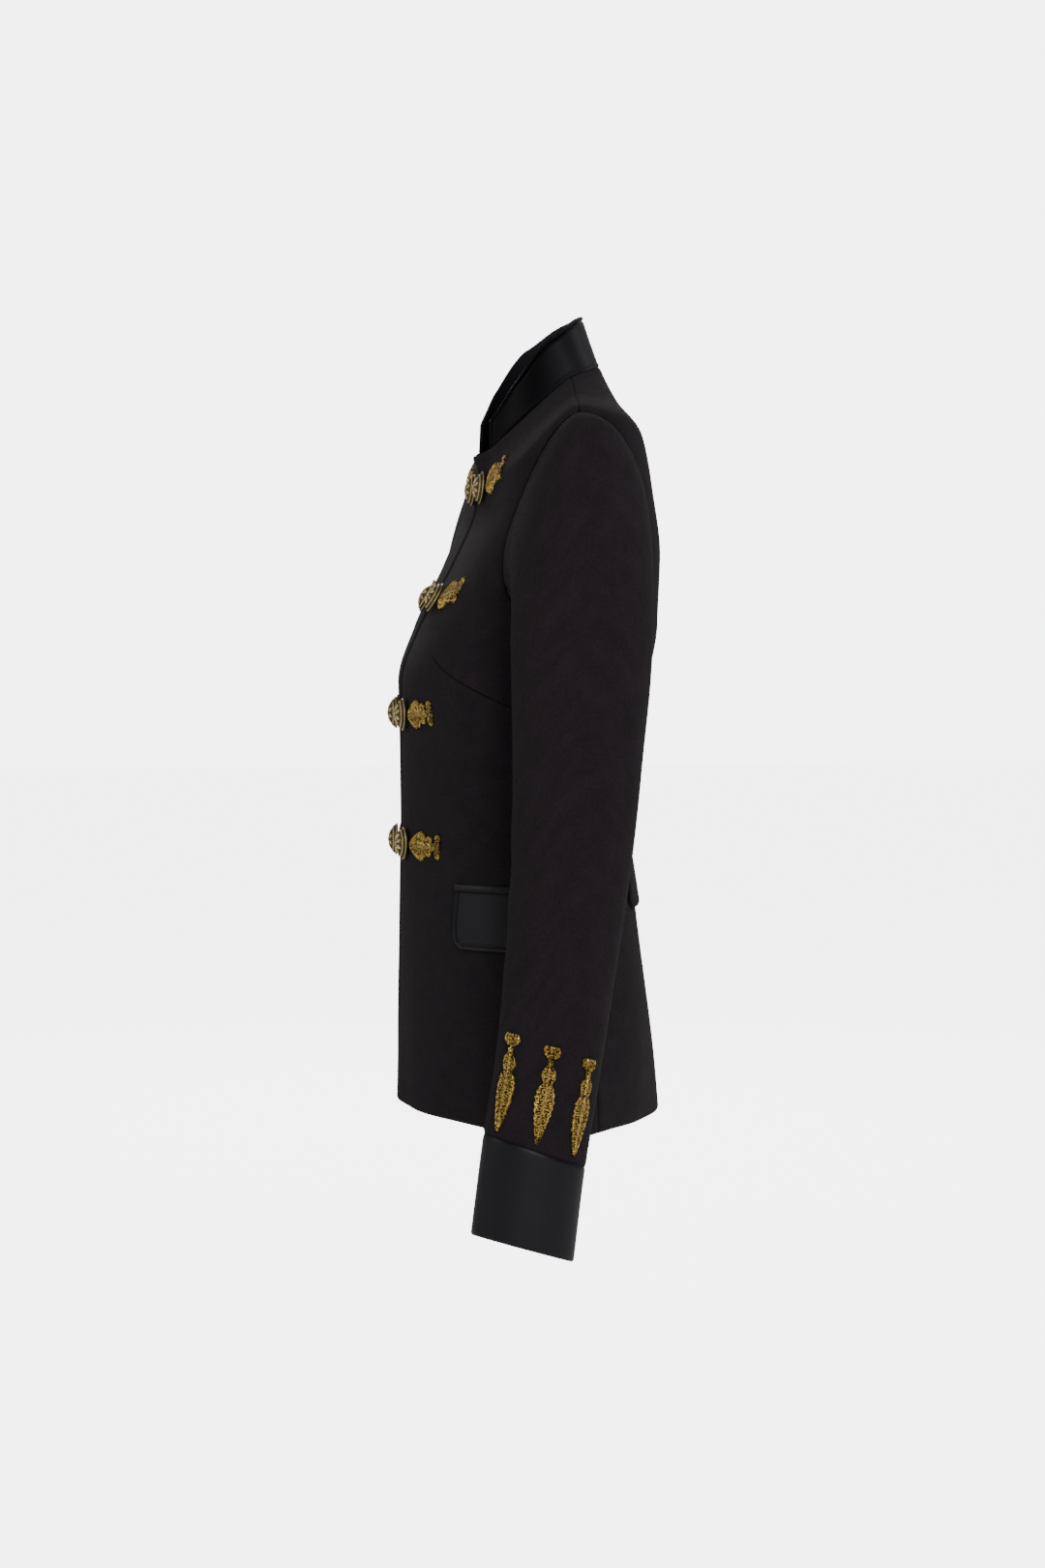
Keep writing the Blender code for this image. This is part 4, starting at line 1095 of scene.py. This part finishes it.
def weave_group():
    """Plain weave: the product of two sine ridges across and along the cloth, with uneven yarns."""
    group, given, made = new_group("Weave", [("Vector", "NodeSocketVector", None),
                                             ("Pitch", "NodeSocketFloat", 0.001),
                                             ("Unevenness", "NodeSocketFloat", 0.5)],
                                   [("Height", "NodeSocketFloat"), ("Mottle", "NodeSocketFloat")])
    links = group.links
    split = group.nodes.new("ShaderNodeSeparateXYZ")
    links.new(given.outputs["Vector"], split.inputs[0])
    waves = []
    for axis in (0, 1):
        turns = math_node(group, "DIVIDE", split.outputs[axis], given.outputs["Pitch"])
        waves.append(math_node(group, "SINE", math_node(group, "MULTIPLY", turns, 2 * math.pi)))
    weave = math_node(group, "MULTIPLY", *waves)
    noise = group.nodes.new("ShaderNodeTexNoise")
    noise.inputs["Scale"].default_value = 420
    noise.inputs["Detail"].default_value = 3
    links.new(given.outputs["Vector"], noise.inputs["Vector"])
    slub = math_node(group, "MULTIPLY", noise.outputs["Fac"], given.outputs["Unevenness"])
    links.new(math_node(group, "ADD", math_node(group, "MULTIPLY", weave, 0.5), slub), made.inputs["Height"])
    broad = group.nodes.new("ShaderNodeTexNoise")
    broad.inputs["Scale"].default_value = 60
    broad.inputs["Detail"].default_value = 5
    links.new(given.outputs["Vector"], broad.inputs["Vector"])
    links.new(math_node(group, "ADD", math_node(group, "MULTIPLY", broad.outputs["Fac"], 0.5),
                        math_node(group, "MULTIPLY", noise.outputs["Fac"], 0.5)), made.inputs["Mottle"])
    return group


def patina_and_shade_group():
    """Tarnish and painted shade of worked gold: the raised parts are bright, the low ones dark, and grain
    breaks up both.
    """
    group, given, made = new_group("Patina and Shade", [("Rise", "NodeSocketFloat", 0.5),
                                              ("Grain Scale", "NodeSocketFloat", 900.0),
                                              ("Grain", "NodeSocketFloat", 1.0),
                                              ("Low", "NodeSocketColor", None),
                                              ("High", "NodeSocketColor", None)],
                                   [("Color", "NodeSocketColor"), ("Roughness", "NodeSocketFloat"),
                                    ("Height", "NodeSocketFloat")])
    links = group.links
    place = group.nodes.new("ShaderNodeTexCoord")
    noise = group.nodes.new("ShaderNodeTexNoise")
    noise.inputs["Detail"].default_value = 3
    links.new(place.outputs["Object"], noise.inputs["Vector"])
    links.new(given.outputs["Grain Scale"], noise.inputs["Scale"])
    grain = math_node(group, "MULTIPLY", math_node(group, "SUBTRACT", noise.outputs["Fac"], 0.5),
                      given.outputs["Grain"])
    level = math_node(group, "ADD", given.outputs["Rise"], grain)
    level.node.use_clamp = True
    links.new(mixed(group, level, given.outputs["Low"], given.outputs["High"]), made.inputs["Color"])
    links.new(math_node(group, "SUBTRACT", 0.62, math_node(group, "MULTIPLY", level, 0.30)),
              made.inputs["Roughness"])
    links.new(noise.outputs["Fac"], made.inputs["Height"])
    return group


def new_material(name):
    """A material with its node tree and its main shader."""
    made = bpy.data.materials.new(name)
    made.use_nodes = True
    return made, made.node_tree, made.node_tree.nodes["Principled BSDF"]


def placed_group(tree, group, **values):
    """A node group in a material, with the values of its own inputs."""
    node = tree.nodes.new("ShaderNodeGroup")
    node.node_tree = group
    for label, value in values.items():
        node.inputs[label.replace("_", " ")].default_value = value
    return node


def bumped(tree, shader, height, strength, distance):
    """Raises a shader's surface by a height."""
    bump = tree.nodes.new("ShaderNodeBump")
    bump.inputs["Strength"].default_value = strength
    bump.inputs["Distance"].default_value = distance
    tree.links.new(height, bump.inputs["Height"])
    tree.links.new(bump.outputs["Normal"], shader.inputs["Normal"])


def dart_group():
    """A stitched line on the flat cloth: 1 on the run between two points, 0 beyond a width from it."""
    group, given, made = new_group("Dart", [("Vector", "NodeSocketVector", None),
                                            ("Width", "NodeSocketFloat", 0.001)],
                                   [("Line", "NodeSocketFloat")])
    run = Vector(DART_END) - Vector(DART_POINT)

    def vector_node(operation, first, second):
        node = group.nodes.new("ShaderNodeVectorMath")
        node.operation = operation
        for index, value in enumerate((first, second)):
            if isinstance(value, Vector):
                node.inputs[index].default_value = value
            else:
                group.links.new(value, node.inputs[index])
        return node

    away = vector_node("SUBTRACT", given.outputs["Vector"], Vector(DART_POINT)).outputs[0]
    reached = vector_node("DOT_PRODUCT", away, run).outputs["Value"]
    share = math_node(group, "DIVIDE", reached, run.length_squared)
    share.node.use_clamp = True
    scaled = vector_node("SCALE", run, run)
    group.links.new(share, scaled.inputs["Scale"])
    distance = vector_node("DISTANCE", away, scaled.outputs[0]).outputs["Value"]
    line = math_node(group, "SUBTRACT", 1.0, math_node(group, "DIVIDE", distance, given.outputs["Width"]))
    line.node.use_clamp = True
    group.links.new(line, made.inputs["Line"])
    return group


def cloth_material(name, colour, pitch, strength, mottle, dart=False):
    """Woven cloth: the weave raises it, its mottle shifts the colour a little, and its seams are darkened
    with painted shade.
    """
    made, tree, shader = new_material(name)
    lay = tree.nodes.new("ShaderNodeUVMap")
    lay.uv_map = "lay"
    weave = placed_group(tree, bpy.data.node_groups["Weave"], Pitch=pitch, Unevenness=0.8)
    tree.links.new(lay.outputs["UV"], weave.inputs["Vector"])
    spread = tree.nodes.new("ShaderNodeMapRange")
    spread.inputs["From Min"].default_value = 0.35
    spread.inputs["From Max"].default_value = 0.65
    tree.links.new(weave.outputs["Mottle"], spread.inputs["Value"])
    dark = (*[value * (1 - mottle) for value in colour], 1)
    light = (*[value * (1 + mottle) for value in colour], 1)
    clear = tree.nodes.new("ShaderNodeAttribute")
    clear.attribute_name = "rise"
    level, height = clear.outputs["Fac"], weave.outputs["Height"]
    # The dart's crease is darkened as painted shade, and sunk by the bump
    if dart:
        line = placed_group(tree, bpy.data.node_groups["Dart"], Width=0.0011)
        tree.links.new(lay.outputs["UV"], line.inputs["Vector"])
        level = math_node(tree, "SUBTRACT", level, line.outputs["Line"])
        level.node.use_clamp = True
        height = math_node(tree, "SUBTRACT", height, math_node(tree, "MULTIPLY", line.outputs["Line"], 4.0))
    shade = mixed(tree, spread.outputs["Result"], dark, light)
    # Painted shade: where rise is low the colour falls to this dark share
    seam = (*[value * SEAM_PAINTED_SHADE for value in colour], 1)
    tree.links.new(mixed(tree, level, seam, shade), shader.inputs["Base Color"])
    bumped(tree, shader, height, strength, WEAVE_DEPTH)
    return made, shader


def wool_material(cloth, dart=False):
    """Matt wool with a slight sheen, and the bust dart on the fronts."""
    made, shader = cloth_material("wool", cloth.wool_colour, 0.0011, 0.35, 0.22, dart)
    shader.inputs["Roughness"].default_value = 0.95
    shader.inputs["Specular IOR Level"].default_value = 0.12
    shader.inputs["Sheen Weight"].default_value = 0.02
    shader.inputs["Sheen Roughness"].default_value = 0.5
    return made


def satin_material(cloth, collar=False):
    """Satin. On the collar its colour is painted light, dim in the front's shade and pale where the back
    catches
    the light: its share of the colour rises along the object's Y. Its inner side, whose rise is 2, is paler,
    painted light in its shade."""
    made, shader = cloth_material("satin", cloth.satin_colour, 0.0006, 0.08, 0.06)
    shader.inputs["Roughness"].default_value = 0.44
    shader.inputs["Specular IOR Level"].default_value = 0.08 if collar else 0.24
    if collar:
        tree = made.node_tree
        place = tree.nodes.new("ShaderNodeTexCoord")
        split = tree.nodes.new("ShaderNodeSeparateXYZ")
        tree.links.new(place.outputs["Object"], split.inputs[0])
        # Painted light: the collar's colour is scaled along Y, dim at the front and pale at the back
        turned = tree.nodes.new("ShaderNodeMapRange")
        turned.interpolation_type = "SMOOTHSTEP"
        for label, values in (("From", COLLAR_PAINTED_LIGHT_PLACES), ("To", COLLAR_PAINTED_LIGHT_SHARES)):
            for end, value in zip(("Min", "Max"), values):
                turned.inputs[f"{label} {end}"].default_value = value
        tree.links.new(split.outputs["Y"], turned.inputs["Value"])
        rise = tree.nodes.new("ShaderNodeAttribute")
        rise.attribute_name = "rise"
        # Painted light: the inner side, whose rise is 2, is made paler
        inside = math_node(tree, "SUBTRACT", rise.outputs["Fac"], 1.0)
        inside.node.use_clamp = True
        share = math_node(tree, "ADD", turned.outputs["Result"],
                          math_node(tree, "MULTIPLY", inside, COLLAR_INSIDE_PAINTED_LIGHT))
        colour = shader.inputs["Base Color"].links[0].from_socket
        dimmed = tree.nodes.new("ShaderNodeVectorMath")
        dimmed.operation = "SCALE"
        tree.links.new(colour, dimmed.inputs[0])
        tree.links.new(share, dimmed.inputs["Scale"])
        tree.links.new(dimmed.outputs[0], shader.inputs["Base Color"])
    return made


def gold_material(name, low, high, grain, size, metallic, strength):
    """Worked gold: its tarnish and painted shade read how far each point is raised. size is how many grains
    cross a metre.
    """
    made, tree, shader = new_material(name)
    rise = tree.nodes.new("ShaderNodeAttribute")
    rise.attribute_name = "rise"
    patina_and_shade = placed_group(tree, bpy.data.node_groups["Patina and Shade"], Grain=grain, Grain_Scale=size,
                          Low=(*low, 1), High=(*high, 1))
    tree.links.new(rise.outputs["Fac"], patina_and_shade.inputs["Rise"])
    tree.links.new(patina_and_shade.outputs["Color"], shader.inputs["Base Color"])
    tree.links.new(patina_and_shade.outputs["Roughness"], shader.inputs["Roughness"])
    shader.inputs["Metallic"].default_value = metallic
    bumped(tree, shader, patina_and_shade.outputs["Height"], strength, GRAIN_DEPTH)
    return made


def finish(look):
    """The material of a look, made on its first use."""
    scene = bpy.context.scene
    for name, maker in (("Weave", weave_group), ("Patina and Shade", patina_and_shade_group), ("Dart", dart_group)):
        if name not in bpy.data.node_groups:
            maker()
    title = "Blazer " + look.replace("_", " ")
    if title not in bpy.data.materials:
        if look.startswith("wool"):
            made = wool_material(scene.blazer_cloth, look == "wool_front")
        elif look.startswith("satin"):
            made = satin_material(scene.blazer_cloth, look == "satin_collar")
        else:
            low, *amounts = GOLD_FINISHES[look]
            metal, thread = scene.blazer_buttons.metal_colour, scene.blazer_embroidery.thread_colour
            made = gold_material(look, low, metal if look == "gold_metal" else thread, *amounts)
        made.name = title
    return bpy.data.materials[title]


# Stage


def area_light(name, place, target, size, energy):
    """A round soft light that faces a target."""
    light = bpy.data.lights.new(name, "AREA")
    light.shape = "DISK"
    light.size = size
    light.energy = energy
    made = bpy.data.objects.new(name, light)
    made.location = place
    made.rotation_euler = (Vector(target) - Vector(place)).to_track_quat("-Z", "Y").to_euler()
    bpy.context.scene.collection.objects.link(made)


def build_floor(colour, backdrop):
    """A wide pale floor. The picture shows it nearly as bright as the backdrop, so no horizon cuts it."""
    mesh = bpy.data.meshes.new("floor")
    corners = [(x * FLOOR_REACH, y * FLOOR_REACH, FLOOR_Z) for x, y in ((-1, -1), (1, -1), (1, 1), (-1, 1))]
    mesh.from_pydata(corners, [], [(0, 1, 2, 3)])
    made, tree, shader = new_material("pale floor")
    shader.inputs["Base Color"].default_value = (*colour, 1)
    shader.inputs["Roughness"].default_value = 0.9
    shader.inputs["Emission Color"].default_value = (1, 1, 1, 1)
    seen = tree.nodes.new("ShaderNodeLightPath").outputs["Is Camera Ray"]
    glow = math_node(tree, "MULTIPLY", seen, backdrop * FLOOR_SHARE)
    tree.links.new(glow, shader.inputs["Emission Strength"])
    mesh.materials.append(made)
    floor = bpy.data.objects.new("floor", mesh)
    bpy.context.scene.collection.objects.link(floor)


def build_camera():
    """The photograph's camera: the image is 1080 by 1620 and the lens fits its long side."""
    azimuth, height = math.radians(CAMERA_AZIMUTH), math.radians(CAMERA_HEIGHT)
    level = math.cos(height)
    away = Vector((level * math.sin(azimuth), -level * math.cos(azimuth), math.sin(height)))
    data = bpy.data.cameras.new("camera")
    data.lens = CAMERA_LENS
    data.sensor_width = CAMERA_SENSOR
    made = bpy.data.objects.new("camera", data)
    made.location = Vector(CAMERA_TARGET) + away * CAMERA_DISTANCE
    made.rotation_euler = (-away).to_track_quat("-Z", "Y").to_euler()
    bpy.context.scene.collection.objects.link(made)
    bpy.context.scene.camera = made


def build_stage():
    """The surround, which looks brighter than it lights, the floor, the lights and the camera."""
    stage = bpy.context.scene.blazer_stage
    world = bpy.data.worlds.new("studio")
    world.use_nodes = True
    tree = world.node_tree
    back = tree.nodes["Background"]
    back.inputs["Color"].default_value = (1, 1, 1, 1)
    seen = tree.nodes.new("ShaderNodeLightPath").outputs["Is Camera Ray"]
    extra = math_node(tree, "MULTIPLY", seen, stage.backdrop - stage.surround)
    tree.links.new(math_node(tree, "ADD", extra, stage.surround), back.inputs["Strength"])
    bpy.context.scene.world = world
    build_floor(stage.floor_colour, stage.backdrop)
    for name, place, size, share in STUDIO_LIGHTS:
        area_light(name, place, LIGHT_TARGET, size, stage.light * share)
    build_camera()


# Sizes and colours that a user would change


class BlazerCloth(bpy.types.PropertyGroup):
    """Sizes and colours of the wool and the satin"""
    wool_wall: bpy.props.FloatProperty(name="Wool Wall", description="Thickness of the wool and its facing",
                                       default=0.0020, min=0.001, max=0.003, unit="LENGTH")
    satin_wall: bpy.props.FloatProperty(name="Satin Wall", description="Thickness of the satin pieces",
                                        default=0.0022, min=0.001, max=0.003, unit="LENGTH")
    fold_depth: bpy.props.FloatProperty(name="Fold Depth", description="Depth of the soft creases",
                                        default=0.0022, min=0.0, max=0.005, unit="LENGTH")
    wool_colour: bpy.props.FloatVectorProperty(name="Wool Colour", description="Colour of the wool",
                                               default=(0.0182, 0.0136, 0.0168), subtype="COLOR", size=3)
    satin_colour: bpy.props.FloatVectorProperty(name="Satin Colour", description="Colour of the satin",
                                                default=(0.0112, 0.0107, 0.0138), subtype="COLOR", size=3)


class BlazerButtons(bpy.types.PropertyGroup):
    """Size and colour of the buttons"""
    radius: bpy.props.FloatProperty(name="Radius", description="Radius of a button", default=0.013,
                                    min=0.008, max=0.016, unit="LENGTH")
    dome: bpy.props.FloatProperty(name="Dome", description="Height of a button's dome", default=0.0065,
                                  min=0.002, max=0.008, unit="LENGTH")
    metal_colour: bpy.props.FloatVectorProperty(name="Metal Colour", description="Colour of the raised metal",
                                                default=(0.96, 0.77, 0.39), subtype="COLOR", size=3)


class BlazerEmbroidery(bpy.types.PropertyGroup):
    """Height and colour of the embroidered leaves"""
    relief: bpy.props.FloatProperty(name="Relief", description="Height of the padded leaves", default=0.0026,
                                    min=0.001, max=0.004, unit="LENGTH")
    thread_colour: bpy.props.FloatVectorProperty(name="Thread Colour", subtype="COLOR", size=3,
                                                 description="Colour of the gold thread",
                                                 default=(0.80, 0.53, 0.13))


class BlazerStage(bpy.types.PropertyGroup):
    """Light and floor of the studio"""
    surround: bpy.props.FloatProperty(name="Surround", default=0.23, min=0.0, max=3.0,
                                      description="How brightly the surround lights the blazer")
    backdrop: bpy.props.FloatProperty(name="Backdrop", description="How bright the white backdrop looks",
                                      default=5.5, min=0.0, max=20.0)
    light: bpy.props.FloatProperty(name="Light", description="Power of the main light", default=38.0,
                                   min=0.0, max=500.0, unit="POWER")
    floor_colour: bpy.props.FloatVectorProperty(name="Floor Colour", description="Colour of the floor",
                                                default=(0.86, 0.86, 0.86), subtype="COLOR", size=3)


# Operators and panel


class BLAZER_OT_body(bpy.types.Operator):
    """Builds the two fronts and the two backs"""
    bl_idname = "blazer.body"
    bl_label = "Fronts and Backs"

    def execute(self, context):
        build_body()
        return {"FINISHED"}


class BLAZER_OT_collar(bpy.types.Operator):
    """Builds the stand collar"""
    bl_idname = "blazer.collar"
    bl_label = "Collar"

    def execute(self, context):
        build_collar()
        return {"FINISHED"}


class BLAZER_OT_sleeves(bpy.types.Operator):
    """Builds both two-piece sleeves and their satin cuffs"""
    bl_idname = "blazer.sleeves"
    bl_label = "Sleeves and Cuffs"

    def execute(self, context):
        build_sleeves()
        return {"FINISHED"}


class BLAZER_OT_flaps(bpy.types.Operator):
    """Builds the pocket welts and flaps, and the back flap with its edge"""
    bl_idname = "blazer.flaps"
    bl_label = "Flaps"

    def execute(self, context):
        build_flaps()
        return {"FINISHED"}


class BLAZER_OT_buttons(bpy.types.Operator):
    """Builds the eight domed buttons"""
    bl_idname = "blazer.buttons"
    bl_label = "Buttons"

    def execute(self, context):
        build_buttons()
        return {"FINISHED"}


class BLAZER_OT_embroidery(bpy.types.Operator):
    """Builds the embroidered leaves of the fronts and the sleeves"""
    bl_idname = "blazer.embroidery"
    bl_label = "Embroidery"

    def execute(self, context):
        build_embroidery()
        return {"FINISHED"}


class BLAZER_OT_stage(bpy.types.Operator):
    """Builds the floor, the studio lights and the camera"""
    bl_idname = "blazer.stage"
    bl_label = "Stage"

    def execute(self, context):
        build_stage()
        return {"FINISHED"}


class BLAZER_PT_panel(bpy.types.Panel):
    """Lists the blazer's sizes, colours and steps"""
    bl_idname = "BLAZER_PT_panel"
    bl_label = "Military Blazer"
    bl_space_type = "VIEW_3D"
    bl_region_type = "UI"
    bl_category = "Blazer"

    def draw(self, context):
        for group, steps in STEPS:
            box = self.layout.box()
            settings = getattr(context.scene, group)
            for label in settings.__annotations__:
                box.prop(settings, label)
            for step in steps:
                box.operator("blazer." + step)


STEPS = (
    ("blazer_cloth", ("body", "collar", "sleeves", "flaps")),
    ("blazer_buttons", ("buttons",)),
    ("blazer_embroidery", ("embroidery",)),
    ("blazer_stage", ("stage",)),
)
SETTINGS = {
    "blazer_cloth": BlazerCloth,
    "blazer_buttons": BlazerButtons,
    "blazer_embroidery": BlazerEmbroidery,
    "blazer_stage": BlazerStage,
}
CLASSES = (
    *SETTINGS.values(), BLAZER_OT_body, BLAZER_OT_collar, BLAZER_OT_sleeves, BLAZER_OT_flaps,
    BLAZER_OT_buttons, BLAZER_OT_embroidery, BLAZER_OT_stage, BLAZER_PT_panel,
)


def register():
    """Registers the classes and hangs the settings on the scene."""
    for made in CLASSES:
        bpy.utils.register_class(made)
    for name, made in SETTINGS.items():
        setattr(bpy.types.Scene, name, bpy.props.PointerProperty(type=made))


def unregister():
    """Takes the settings and the classes away again."""
    for name in SETTINGS:
        delattr(bpy.types.Scene, name)
    for made in reversed(CLASSES):
        bpy.utils.unregister_class(made)


def main():
    """Builds every step in order."""
    register()
    for _, steps in STEPS:
        for step in steps:
            getattr(bpy.ops.blazer, step)()


if __name__ == "__main__":
    main()
